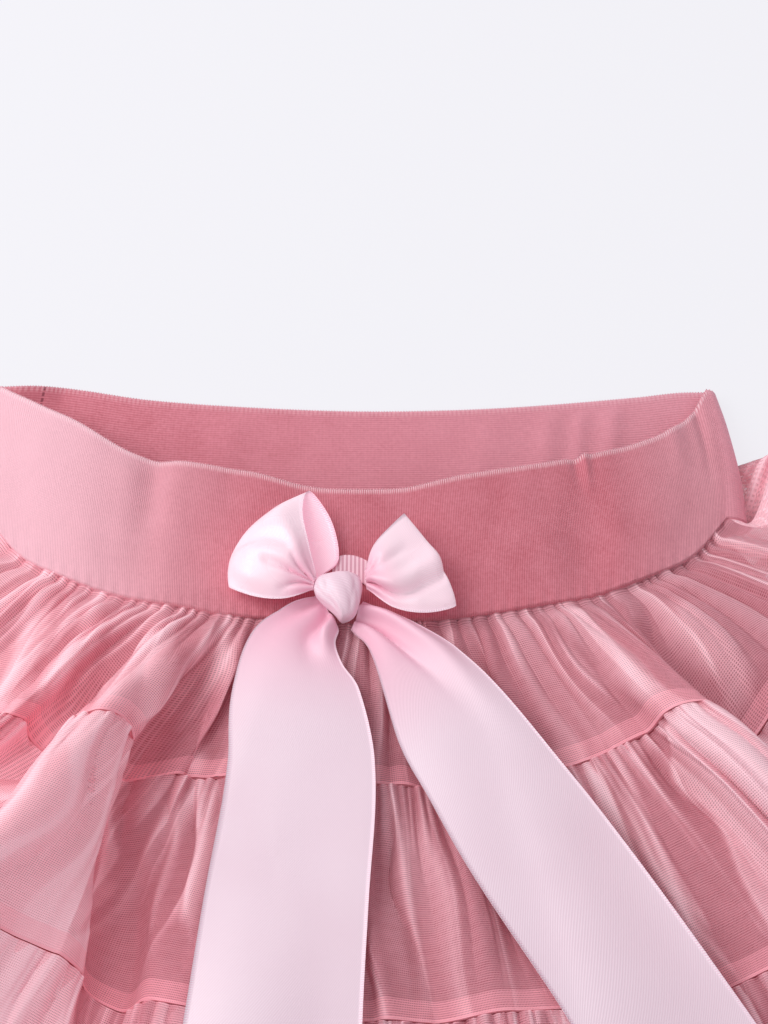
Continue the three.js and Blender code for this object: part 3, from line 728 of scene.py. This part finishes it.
def tulle_material(name, light, deep, doubled, least, rib, thread, rib_pitch=0.62, thread_pitch=0.84):
    """Knitted net: ribs across with thin threads between; colours where it lies close or gets painted light,
    where it lies open and where it lies doubled.
    """
    m = Nodes(name)
    ribs = m.lines(m.y, rib_pitch, 0.14, 0.34)
    threads = m.lines(m.x, thread_pitch, 0.2, 0.38)
    slub = m.noise(260.0, 2.0)
    attribute = m.tree.nodes.new("ShaderNodeAttribute")
    attribute.attribute_name = "density_and_light"
    split = m.tree.nodes.new("ShaderNodeSeparateXYZ")
    m.link(m.place, split.inputs[0])
    across = split.outputs[0]
    # painted light: the light comes from the left, so the net is made paler and more opaque towards the left
    density_and_light = m.math("ADD", attribute.outputs["Fac"], m.map(across, -0.035, -0.11, 0.0, 0.36))
    net = m.most(ribs, m.times(threads, thread))
    alpha = m.muladd(net, rib, least)
    alpha = m.muladd(density_and_light, 0.5, alpha)
    alpha = m.muladd(m.minus(slub, 0.5), 0.12, alpha)
    # the seam's allowance lies doubled behind the last millimetres of a tier, and its edge is rolled
    wander = m.muladd(m.noise(35.0, 1.0), 1.2, -0.6)
    strips, rolls = [], []
    for seam in (T_1, T_2):
        start = m.math("ADD", wander, seam - ALLOWANCE)
        strips.append(m.times(m.map(m.minus(m.y, start), -0.25, 0.25), m.map(m.y, seam + 0.5, seam + 0.1)))
        rolls.append(m.map(m.gap(m.y, seam - 0.6), 0.55, 0.15))
    strip, rolled = m.most(*strips), m.most(*rolls)
    alpha = m.muladd(strip, 0.20, alpha)
    alpha = m.muladd(rolled, 0.4, alpha)
    color = m.mix(m.muladd(density_and_light, 0.85, m.times(net, 0.15)), srgb(*deep), srgb(*light))
    color = m.mix(m.muladd(rolled, 0.35, m.times(strip, 0.35)), color, srgb(*doubled))
    m.set(color=color, rough=0.8, alpha=m.math("MINIMUM", alpha, 0.98), specular=0.2)
    m.set(sheen=0.25, sheen_rough=0.5, sheen_tint=srgb(255, 214, 226))
    # painted light: the net glows pink towards the left, where the light falls
    m.set(glow=srgb(255, 118, 142), glow_power=m.map(across, -0.01, -0.09, 0.0, 0.08))
    m.bump(ribs, 0.35, 0.00012)
    return m.mat


def knit_material(seam_at):
    """Rib knit of the band; seam_at is the place of the side seam on the length round."""
    m = Nodes("rib_knit")
    wales = m.lines(m.x, 0.66, 0.1, 0.42)
    courses = m.lines(m.y, 0.72, 0.15, 0.42)
    slub = m.noise(90.0, 3.0)
    coarse = m.noise(900.0, 2.0)
    # the band's inside, seen at the back, shows its courses more than its wales
    outside = m.map(m.x, FRONT_OF_BAND + 6.0, FRONT_OF_BAND - 6.0)
    wales = m.times(wales, m.between(outside, 0.12, 1.0))
    height = m.muladd(courses, m.between(outside, 0.8, 0.25), wales)
    tone = m.muladd(m.minus(slub, 0.5), 0.5, m.muladd(wales, -0.5, 0.68))
    tone = m.muladd(m.minus(coarse, 0.5), 0.6, tone)
    tone = m.muladd(m.times(courses, m.between(outside, 1.0, 0.0)), -0.25, tone)
    base = m.mix(tone, srgb(180, 84, 96), srgb(224, 138, 152))
    # the light falls on the two ends of the band's front and leaves them paler
    pale = m.math("ADD", m.map(m.x, 116.0, 8.0, 0.0, 0.60), m.map(m.x, 236.0, 280.0, 0.0, 0.22))
    base = m.mix(m.times(pale, outside), base, srgb(255, 214, 226))
    # painted light: the band's inside at the back is made paler towards its right end
    base = m.mix(m.map(m.x, 440.0, FRONT_OF_BAND, 0.0, 0.34), base, m.mix(outside, srgb(250, 190, 206), base))
    # the side seam inside: a dashed line of stitches between two darker folds of allowance
    beside = m.gap(m.x, seam_at)
    stitches = m.times(m.map(beside, 0.32, 0.12), m.lines(m.y, 1.7, 0.1, 0.2))
    folded = m.times(m.map(beside, 4.6, 2.6), m.map(m.y, 7.0, 1.5))
    base = m.mix(m.times(folded, 0.4), base, srgb(150, 66, 80))
    base = m.mix(m.times(stitches, 0.8), base, srgb(112, 42, 56))
    # pale stitches along the upper fold
    edge = m.times(m.map(m.y, 1.6, 0.2), m.lines(m.x, 0.84, 0.16, 0.3))
    edge = m.times(edge, m.between(outside, 0.25, 0.9))
    m.set(color=m.mix(m.times(edge, 0.6), base, srgb(252, 216, 222)), rough=0.85, specular=0.2)
    m.set(sheen=0.6, sheen_rough=0.5, sheen_tint=srgb(255, 222, 234))
    m.bump(height, 0.55, 0.00018)
    return m.mat


def lining_material():
    m = Nodes("lining_cloth")
    weave = m.times(m.lines(m.x, 0.4, 0.15, 0.4), m.lines(m.y, 0.4, 0.15, 0.4))
    m.set(color=m.mix(m.noise(60.0, 2.0), srgb(160, 70, 84), srgb(184, 90, 103)), rough=0.75, sheen=0.15,
          specular=0.25)
    m.bump(weave, 0.2, 0.0001)
    return m.mat


def satin_material(name, light, deep, gloss, pink_from, back_from=None):
    """Ribbon: pinker up to the length pink_from, as painted shade and pink reflection near the knot, and a
    painted glow that lifts the shade, stronger from back_from on, where it turns back.
    """
    m = Nodes(name)
    twill = m.lines(m.muladd(m.y, 0.6, m.x), 0.62, 0.1, 0.4)
    edge = m.most(m.map(m.x, 1.1, 0.6), m.map(m.x, RIBBON_WIDTH - 1.1, RIBBON_WIDTH - 0.6))
    picot = m.times(edge, m.lines(m.y, 0.66, 0.16, 0.34))
    soft = m.noise(40.0, 2.0)
    color = m.mix(m.muladd(twill, 0.5, m.times(soft, 0.6)), srgb(*deep), srgb(*light))
    # painted shade and reflection: pinker near the knot, fading out by the length pink_from
    color = m.mix(m.map(m.y, pink_from, pink_from * 0.14, 0.0, 0.8), color, srgb(234, 168, 190))
    color = m.mix(m.times(edge, 0.5), color, srgb(250, 236, 243))
    color = m.mix(m.times(picot, 0.55), color, srgb(226, 168, 194))
    # painted light: a pink glow lifts the satin's shade everywhere, more on the loops' back layer from
    # back_from on
    glow = 0.06 if back_from is None else m.map(m.y, back_from - 3.0, back_from + 3.0, 0.06, 0.30)
    m.set(color=color, rough=m.map(soft, 0.3, 0.7, gloss, gloss + 0.08), specular=0.75, aniso=0.5)
    m.set(sheen=0.2, sheen_rough=0.3, sheen_tint=srgb(255, 240, 248), glow=srgb(250, 160, 190),
          glow_power=glow)
    m.bump(m.math("ADD", m.times(twill, 0.7), picot), 0.4, 0.0001)
    return m.mat


def stay_material():
    """Sheer ribbon with close threads down it."""
    m = Nodes("stay_ribbon")
    threads = m.lines(m.x, 0.7, 0.1, 0.4)
    m.set(color=m.mix(threads, srgb(242, 184, 202), srgb(254, 220, 230)), rough=0.5, specular=0.4,
          alpha=m.muladd(threads, 0.25, 0.68))
    return m.mat


def plain_material(name, color, rough):
    m = Nodes(name)
    m.set(color=srgb(*color), rough=rough, specular=0.2)
    return m.mat


def give(ob, material, node=None):
    """Sets a piece's material and slot, hangs it under the root body and hides the imported part that it
    stands for.
    """
    ob.data.materials.clear()
    ob.data.materials.append(material)
    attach(ob, "root")
    if node:
        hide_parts(node)
    return ob


# camera, at the picture's angle: elevation above the surface, from the hem's side
ELEVATION, DISTANCE = 65.0, 745.0
TARGET = np.array([8.0, 0.0, 26.0])


def build_camera():
    rise = math.radians(ELEVATION)
    eye = TARGET + DISTANCE * np.array([0.0, -math.cos(rise), math.sin(rise)]) - CENTRE
    data = bpy.data.cameras.new("camera")
    data.lens = 90.0
    data.sensor_width = 36.0
    data.sensor_fit = "AUTO"
    data.clip_start = 0.01
    camera = bpy.data.objects.new("camera", data)
    camera.location = tuple(eye * 0.001)
    camera.rotation_euler = (math.radians(90.0 - ELEVATION), 0.0, 0.0)
    bpy.context.scene.collection.objects.link(camera)
    bpy.context.scene.camera = camera


# tiers: two plies each; stations round, rows down and material of a ply
def build_tiers():
    outer = tulle_material("tulle_outer", (255, 212, 221), (234, 152, 166), (246, 164, 176), 0.07, 0.50, 0.9)
    inner = tulle_material("tulle_inner", (252, 196, 206), (228, 142, 157), (240, 154, 166), 0.12, 0.30, 0.85,
                           0.74, 1.05)
    plies = (("outer", stations(1450, 36, 330), 38, outer), ("inner", stations(760, 24, 180), 26, inner))
    for number, tier in enumerate(TIERS):
        for ply, (side_name, k, rows, material) in enumerate(plies):
            s = np.linspace(0, 1, rows) ** 1.25
            points, T, density_and_light = tier_points(tier, number, k, s, ply)
            ob = tube_sheet(tier["name"] + "_" + side_name + "_ply", points, tier["cut"] * 1000, T, density_and_light)
            tier[side_name] = give(ob, material, tier["name"] if ply == 0 else None)


def build_lining():
    K, S = crossed(stations(220, 16, 90), np.linspace(0, 1, 30))
    T = T_SEAM + 0.2 + S * (T_LINING - T_SEAM - 0.2)
    fans = (80 * LINING_FAN, 84 * LINING_FAN)
    surface = lambda a, b: ring(a, b, False, lining_front, lining_back, LINING_FLOOR, fans)
    p = surface(K, T)
    n, _ = directions(surface, K, T)
    u = np.clip(K, -1, 1)
    x = (u + 1) / 2
    wave = 2.2 * table_noise(x * 17, 401) + 0.8 * table_noise(x * 41, 402)
    wave = wave * (0.25 + 0.75 * S) * ease((1 - np.abs(u)) / 0.1)
    wave = np.where(K <= 1, wave, 0)
    p = p + n * (wave - 0.3)[..., None]
    return give(tube_sheet("lining_cloth", p, LINING_ROUND, T), lining_material(), "lining")


# waistband: doubled rib knit with a rounded upper fold
K_BAND = stations(360, 18, 170)
# folds of its front: middle, width, height, and how far down they reach
BAND_FOLDS = [
    (-0.63, 0.05, 2.0, 36), (-0.555, 0.036, -2.4, 40), (-0.34, 0.05, -0.7, 30), (0.52, 0.045, -0.5, 30),
    (0.605, 0.012, -0.9, 14), (0.632, 0.012, 1.5, 16), (0.74, 0.05, -0.8, 44), (0.885, 0.022, 0.8, 24),
    (0.93, 0.022, -0.7, 24), (0.962, 0.011, -1.7, 34)]
# soft creases of its inside at the back, and the side seam there: place, width, height
SIDE_SEAM = 3.9
BACK_FOLDS = [
    (2.27, 0.03, 1.0), (2.36, 0.02, 0.7), (2.45, 0.035, 0.9), (2.62, 0.05, 0.5), (3.35, 0.06, 0.5),
    (SIDE_SEAM, 0.006, -0.5)]
YARN_PITCH, YARN_RADIUS = 0.85, 0.10


def band_layers(K, T):
    """The band's middle form, its outer layer and its inner layer."""
    surface = lambda a, b: ring(a, b, True)
    p = surface(K, T)
    # the left waist corner is drawn out a little
    p[..., 0] -= 2.6 * ease((-95 - p[..., 0]) / 12) * (1 - ease(T / 16))
    n, _ = directions(surface, K, np.clip(T, 0.1, T_SEAM - 0.1))
    u = np.clip(K, -1, 1)
    on_front, on_back = K <= 1, (K >= 2) & (K <= 4)
    soft = 0.35 * table_noise((u + 1) * 9, 501) + 0.2 * noise2((u + 1) * 16, T / 12, 502)
    soft = np.where(on_front, soft, 0) * ease((1 - np.abs(u)) / 0.1)
    pucker = np.where(on_front, 0.16 * np.sin((u + 1) / 2 * 57 * 2 * np.pi), 0) * ease((T - (T_SEAM - 6)) / 6)
    folds = sum(high * hump(u - at, wide) * (1 - ease((T + 1) / deep)) for at, wide, high, deep in BAND_FOLDS)
    folds = np.where(on_front, folds, 0) * (0.5 + 0.5 * np.where(u < 0, ease(T / 7), 1))
    outer = np.where(on_back[..., None], p, p + n * (soft + pucker + folds)[..., None])
    rise = sum(high * hump(K - 0.0016 * T - at, wide) for at, wide, high in BACK_FOLDS)
    rise = rise * ease(T / 6) * (1 - ease((T - 32) / 12))
    inner = outer - n * BAND_WALL - n * np.where(on_back, rise, 0)[..., None]
    return p, outer, inner


def build_band():
    rows_t = np.concatenate([np.linspace(0.0, 6, 9), np.linspace(8, T_SEAM - 2, 16),
                             [T_SEAM - 1.0, T_SEAM - 0.2]])
    K, T = crossed(K_BAND, rows_t)
    p, outer, inner = band_layers(K, T)
    up = unit(p[:, 0] - p[:, 2])
    middle = (outer[:, 0] + inner[:, 0]) / 2
    rows = [inner[:, j] for j in range(inner.shape[1] - 1, -1, -1)]
    row_t = list(rows_t[::-1])
    for degrees in (150, 120, 90, 60, 30):
        c, s = math.cos(math.radians(degrees)), math.sin(math.radians(degrees))
        rows.append(middle + (outer[:, 0] - inner[:, 0]) / 2 * c + up * (BAND_WALL / 2 * s))
        row_t.append(-BAND_WALL / 2 * s)
    rows += [outer[:, j] for j in range(outer.shape[1])]
    row_t += list(rows_t)
    grid = np.stack(rows, 1)
    grid[..., 2] = np.maximum(grid[..., 2], 0.02)
    n, m = grid.shape[:2]
    here, after = np.arange(n) * m, (np.arange(n) + 1) % n * m
    closing = np.stack([here + m - 1, after + m - 1, after, here], -1)[:, ::-1]
    faces = np.concatenate([grid_faces(n, m, True), closing])
    uv = tube_uv(faces, n, m, BAND_ROUND, np.array(row_t)[None, :])
    seam_at = float(np.interp(SIDE_SEAM, K_BAND, np.arange(n) / n * BAND_ROUND))
    ob = mesh_object("waistband_knit", grid.reshape(-1, 3), faces, uv)
    build_edge_yarn(middle + up * (BAND_WALL / 2), up, unit(outer[:, 0] - inner[:, 0]))
    return give(ob, knit_material(seam_at), "waistband")


def build_edge_yarn(edge, up, out):
    """Small pale loops of yarn along the upper fold."""
    step = np.linalg.norm(np.roll(edge, -1, 0) - edge, axis=1)
    far = np.concatenate([[0], np.cumsum(step)])
    count = int(far[-1] / YARN_PITCH) * 6
    places = np.linspace(0, far[-1], count, endpoint=False)

    def at(rows):
        rows = np.concatenate([rows, rows[:1]])
        return np.stack([np.interp(places, far, rows[:, c]) for c in range(3)], -1)

    phase = np.arange(count) / 6 * 2 * np.pi
    line = (at(edge) + at(out) * (0.95 * np.sin(phase))[:, None]
            + at(up) * (0.12 - 0.28 * np.abs(np.sin(phase)) ** 2)[:, None])
    b1 = unit(np.cross(unit(np.roll(line, -1, 0) - np.roll(line, 1, 0)), at(up)))
    b2 = np.cross(unit(np.roll(line, -1, 0) - np.roll(line, 1, 0)), b1)
    points = np.stack([line + YARN_RADIUS * (b1 * math.cos(a) + b2 * math.sin(a))
                       for a in np.arange(4) * math.pi / 2], 1)
    I, J = crossed(np.arange(count), np.arange(4))
    here, after, turned = I * 4, (I + 1) % count * 4, (J + 1) % 4
    faces = np.stack([here + J, after + J, after + turned, here + turned], -1).reshape(-1, 4)
    ob = mesh_object("waist_edge_yarn", points.reshape(-1, 3), faces, np.zeros((count * 4, 2)))
    give(ob, plain_material("pale_yarn", (246, 192, 202), 0.8))


# ribbon
def above(u, t, h):
    """A point at height h over the front's cloth."""
    out = []
    for on_band in (True, False):
        surface = lambda a, b: front(a, b, on_band, 0.5)
        near_t = np.minimum(t, T_SEAM - 0.1) if on_band else np.maximum(t, T_SEAM + 0.1)
        way, _ = directions(surface, np.asarray(u, float), near_t)
        out.append(surface(u, t if not on_band else np.minimum(t, T_SEAM)) + way * np.asarray(h)[..., None])
    return np.where((np.asarray(t) < T_SEAM)[..., None], out[0], out[1])


def tail(edges, extra):
    """A tail's points from its two edges; extra is the relief at places (across, along)."""
    A, B = crossed(np.linspace(0, 1, 33), np.linspace(0, 1, 150))
    u, t, h = (curve(B, edges[0], c) * (1 - A) + curve(B, edges[1], c) * A for c in (1, 2, 3))
    return above(u, t, h + extra(A, B))


def left_extra(A, B):
    gather = 0.9 * np.cos(A * 2 * np.pi * 2.2 + 0.6) * hump(B, 0.10) * (1 - 0.4 * hump(B, 0.02))
    curl = 4.2 * hump(A - 0.86, 0.10) * hump(B - 0.08, 0.045)
    hollow = -1.2 * hump(A - 0.66, 0.08) * hump(B - 0.08, 0.07)
    long = 0.7 * np.sin(A * np.pi) * ease(B / 0.25) + 0.5 * noise2(A * 2, B * 6, 601) * ease(B / 0.2)
    return gather * ease(B / 0.02) + curl + hollow + long


def right_extra(A, B):
    gather = 0.9 * np.cos(A * 2 * np.pi * 2.0 + 2.6) * hump(B, 0.1) * (1 - 0.4 * hump(B, 0.02))
    ridge = 3.2 * hump(A - 0.72 - 0.5 * B, 0.13) * hump(B - 0.1, 0.13)
    groove = -2.2 * hump(A - 0.40 - 0.9 * B, 0.06) * hump(B - 0.07, 0.09)
    long = 0.8 * np.sin(A * np.pi) * ease(B / 0.25) + 0.5 * noise2(A * 2, B * 6, 602) * ease(B / 0.2)
    return gather * ease(B / 0.02) + ridge + groove + long


# bow loops: along, u, t, height over the cloth, for the left edge, the middle and the right edge
LOOP_LEFT = [
    [(0, -0.105, 37.2, 8), (0.18, -0.128, 26.5, 11), (0.36, -0.144, 15, 10), (0.52, -0.128, 7, 8),
     (0.68, -0.068, 14, 4.5), (0.84, -0.046, 26, 2.5), (1, -0.088, 32.5, 2.4)],
    [(0, -0.108, 39, 8.4), (0.18, -0.188, 35, 12), (0.36, -0.262, 29, 11), (0.52, -0.293, 24.2, 5.5),
     (0.68, -0.242, 26, 1.6), (0.84, -0.176, 28, 1.6), (1, -0.1, 34.5, 2.2)],
    [(0, -0.112, 40.6, 7), (0.18, -0.184, 43, 6), (0.36, -0.262, 42.5, 5), (0.52, -0.328, 39.6, 3.2),
     (0.68, -0.27, 37.2, 1.4), (0.84, -0.182, 36, 1.6), (1, -0.112, 37, 2)]]
LOOP_RIGHT = [
    [(0, 0.024, 34.5, 7.6), (0.18, 0.045, 27.5, 10.5), (0.36, 0.088, 20, 9), (0.52, 0.128, 14.1, 7.5),
     (0.68, 0.102, 16, 3.6), (0.84, 0.048, 23.5, 2), (1, 0.026, 32.5, 2.6)],
    [(0, 0.026, 37, 8), (0.18, 0.082, 37, 11.5), (0.36, 0.152, 33.5, 10), (0.52, 0.224, 33.9, 8),
     (0.68, 0.16, 30, 2.8), (0.84, 0.082, 32, 1.6), (1, 0.03, 34.5, 2.2)],
    [(0, 0.028, 39.5, 6.6), (0.18, 0.098, 46, 6.4), (0.36, 0.178, 48, 5.6), (0.52, 0.26, 45.8, 5.2),
     (0.68, 0.186, 41.5, 2.4), (0.84, 0.09, 38.5, 1.6), (1, 0.03, 36.5, 2)]]


def loop(edges, extra):
    """A loop's points: across it, a curve through the two edges and the middle."""
    A, B = crossed(np.linspace(0, 1, 33), np.linspace(0, 1, 110))
    at = [above(curve(B, e, 1), curve(B, e, 2), curve(B, e, 3)) for e in edges]
    w = [(1 - A) * (1 - 2 * A), 4 * A * (1 - A), A * (2 * A - 1)]
    p = sum(a * k[..., None] for a, k in zip(at, w))
    way = unit(np.cross(np.gradient(p, axis=0), np.gradient(p, axis=1)))
    way = way * np.sign(way[:, :1, 2:3] + 1e-9)
    return p + way * extra(A, B)[..., None]


def creases(A, B, rows):
    """Folds between two places (across, along) of a ribbon, fading at both ends: places, width, depth."""
    total = 0 * A
    for start, end, width, depth in rows:
        da, db = end[0] - start[0], 1.7 * (end[1] - start[1])
        k = np.clip(((A - start[0]) * da + 1.7 * (B - start[1]) * db) / (da * da + db * db), 0, 1)
        away = np.hypot(A - start[0] - k * da, 1.7 * (B - start[1]) - k * db)
        total = total + depth * hump(away, width) * (1 - 0.55 * np.abs(2 * k - 1))
    return total


LEFT_CREASES = [
    ((0.62, 0.50), (0.30, 0.26), 0.075, -1.7), ((0.62, 0.27), (0.52, 0.02), 0.05, -2.4),
    ((0.90, 0.20), (0.70, 0.02), 0.04, -1.3), ((0.16, 0.46), (0.22, 0.12), 0.09, 1.2),
    ((0.80, 0.46), (0.86, 0.24), 0.09, 0.9), ((0.34, 0.16), (0.40, 0.02), 0.04, -1.2)]
RIGHT_CREASES = [
    ((0.30, 0.44), (0.36, 0.14), 0.07, -1.0), ((0.20, 0.16), (0.28, 0.02), 0.04, -1.3),
    ((0.92, 0.44), (0.90, 0.20), 0.06, 0.7)]


def left_loop_extra(A, B):
    front_side = 1 - ease((B - 0.42) / 0.12)
    small = 0.45 * np.cos(A * 2 * np.pi * 3.5) * hump(B, 0.12) * ease(B / 0.02)
    relief = small + creases(A, B, LEFT_CREASES)
    return relief * front_side + 0.35 * noise2(A * 3, B * 6, 611) * ease(B / 0.1)


def right_loop_extra(A, B):
    front_side = 1 - ease((B - 0.45) / 0.12)
    small = 0.45 * np.cos(A * 2 * np.pi * 3.5 + 1) * hump(B, 0.12) * ease(B / 0.02)
    middle = curve(B, [(0, 0.66), (0.12, 0.78), (0.25, 0.83), (0.38, 0.74), (0.52, 0.56)])
    groove = -2.3 * hump(A - middle, 0.045) * (1 - 0.5 * ease(B / 0.5))
    brow = 1.7 * hump(A - middle + 0.16, 0.10) * ease(B / 0.1)
    relief = small + groove + brow + creases(A, B, RIGHT_CREASES)
    return relief * front_side + 0.35 * noise2(A * 3, B * 6, 612) * ease(B / 0.1)


def build_ribbon(name, points, length, material, node):
    return give(ribbon_sheet(name, points, RIBBON_WALL, RIBBON_WIDTH, length), material, node)


# knot: the ribbon wrapped once round the middle, pleated along its length
KNOT_PLACE = (-0.042, 41.6, 5.35)
KNOT_HALVES = (7.3, 7.3, 4.8)
KNOT_TURN = 12.0
KNOT_ROUND, KNOT_LONG = 34.0, 14.0
# the part of the ribbon that the knot shows: across and along
KNOT_ON_RIBBON = (10, 32)


def build_knot(material):
    centre = above(*(np.array([value]) for value in KNOT_PLACE))[0]
    W, V = crossed(np.linspace(0, 2 * np.pi, 80, endpoint=False), np.linspace(0.0, np.pi, 41))
    around, end = np.sin(V) ** 0.5, -np.cos(V)
    pleats = (0.10 * np.abs(np.sin(W * 2.5 + 0.9 + 0.9 * np.cos(V))) ** 0.6
              + 0.06 * np.abs(np.sin(W * 5.5 + 1.6 * V)) ** 0.7) * around
    taper = 0.80 - 0.28 * end
    left_side = np.where(np.cos(W) < 0, 1 - 0.5 * ease((end + 0.35) / 1.2), 1 + 0.08 * ease(end))
    cos_w, sin_w = (np.sign(f) * np.abs(f) ** power for f, power in ((np.cos(W), 0.85), (np.sin(W), 0.9)))
    x = KNOT_HALVES[0] * around * cos_w * taper * left_side * (0.96 + pleats)
    y = -KNOT_HALVES[1] * end * (1 - 0.06 * np.cos(W) * around)
    z = KNOT_HALVES[2] * around * sin_w * (0.9 + 0.1 * taper) * (0.93 + pleats)
    c, s = math.cos(math.radians(KNOT_TURN)), math.sin(math.radians(KNOT_TURN))
    points = centre + np.stack([x * c - y * s, x * s + y * c, z], -1)
    n, m = points.shape[:2]
    across = KNOT_ON_RIBBON[0] + np.linspace(0, KNOT_LONG, m)[None, :]
    along = KNOT_ON_RIBBON[1] + (np.arange(n) / n * KNOT_ROUND)[:, None]
    uv = grid_uv(n, m, across, along)
    ob = mesh_object("bow_knot_satin", points.reshape(-1, 3), grid_faces(n, m, True), uv)
    give(ob, material, "bow_knot")


def build_stay():
    """The short flat loop of sheer ribbon that holds the bow."""
    A, B = crossed(np.linspace(0, 1, 17), np.linspace(0, 1, 25))
    t = 24.0 + 1.6 * (2 * A - 0.9) ** 2 + 8.5 * B
    points = above(-0.062 + 0.092 * A, t, 1.0 + 0.5 * np.sin(A * np.pi) + 0 * B)
    return give(ribbon_sheet("bow_stay_ribbon", points, 0.3, 6, 9), stay_material(), "bow_stay")


def build_floor():
    mesh = bpy.data.meshes.new("floor")
    reach, low = 4, -0.0002
    corners = [(-reach, -reach, low), (reach, -reach, low), (reach, reach, low), (-reach, reach, low)]
    mesh.from_pydata(corners, [], [(0, 1, 2, 3)])
    ob = bpy.data.objects.new("floor", mesh)
    bpy.context.scene.collection.objects.link(ob)
    paper = Nodes("floor_paper")
    paper.set(color=srgb(96, 96, 98), rough=0.95, specular=0.0, glow=srgb(228, 227, 232), glow_power=1.0)
    mesh.materials.append(paper.mat)


def area_light(name, location, look_at, size, energy, color):
    data = bpy.data.lights.new(name, "AREA")
    data.shape = "RECTANGLE"
    data.size, data.size_y = size
    data.energy = energy
    data.color = color
    ob = bpy.data.objects.new(name, data)
    ob.location = location
    d = np.array(look_at) - np.array(location)
    ob.rotation_euler = (math.atan2(math.hypot(d[0], d[1]), -d[2]), 0.0, math.atan2(d[1], d[0]) - math.pi / 2)
    bpy.context.scene.collection.objects.link(ob)


def build_world():
    world = bpy.data.worlds.new("world")
    world.use_nodes = True
    background = world.node_tree.nodes["Background"]
    background.inputs[0].default_value = (0.95, 0.955, 1.0, 1.0)
    background.inputs[1].default_value = 0.60
    bpy.context.scene.world = world
    bpy.context.scene.view_settings.view_transform = "Standard"
    bpy.context.scene.view_settings.look = "None"


build_camera()
build_tiers()
lining = build_lining()
band = build_band()
# painted light: the bow's loops get a paler copy of the satin than the tails and the knot, with more glow on
# their back layer
satin = satin_material("satin", (231, 213, 223), (224, 198, 210), 0.36, 56.0)
satin_bow_painted_light = satin_material("satin_bow_painted_light", (252, 230, 238), (246, 208, 221), 0.25, 22.0, 39.0)
tail_left = build_ribbon("ribbon_tail_left_satin", tail(TAIL_LEFT, left_extra), 180, satin,
                         "ribbon_tail_left")
tail_right = build_ribbon("ribbon_tail_right_satin", tail(TAIL_RIGHT, right_extra), 190, satin,
                          "ribbon_tail_right")
loop_left = build_ribbon("bow_loop_left_satin", loop(LOOP_LEFT, left_loop_extra), 75, satin_bow_painted_light,
                         "bow_loop_left")
loop_right = build_ribbon("bow_loop_right_satin", loop(LOOP_RIGHT, right_loop_extra), 70, satin_bow_painted_light,
                          "bow_loop_right")
build_knot(satin)
stay = build_stay()

# floor, light and world
build_floor()
area_light("key", (-0.60, 0.27, 0.62), (0, 0, 0.02), (0.8, 0.8), 6.3, (1.0, 0.985, 0.975))
area_light("fill", (0.5, -1.4, 1.2), (0, 0, 0), (1.2, 1.2), 2.0, (0.98, 0.98, 1.0))
build_world()
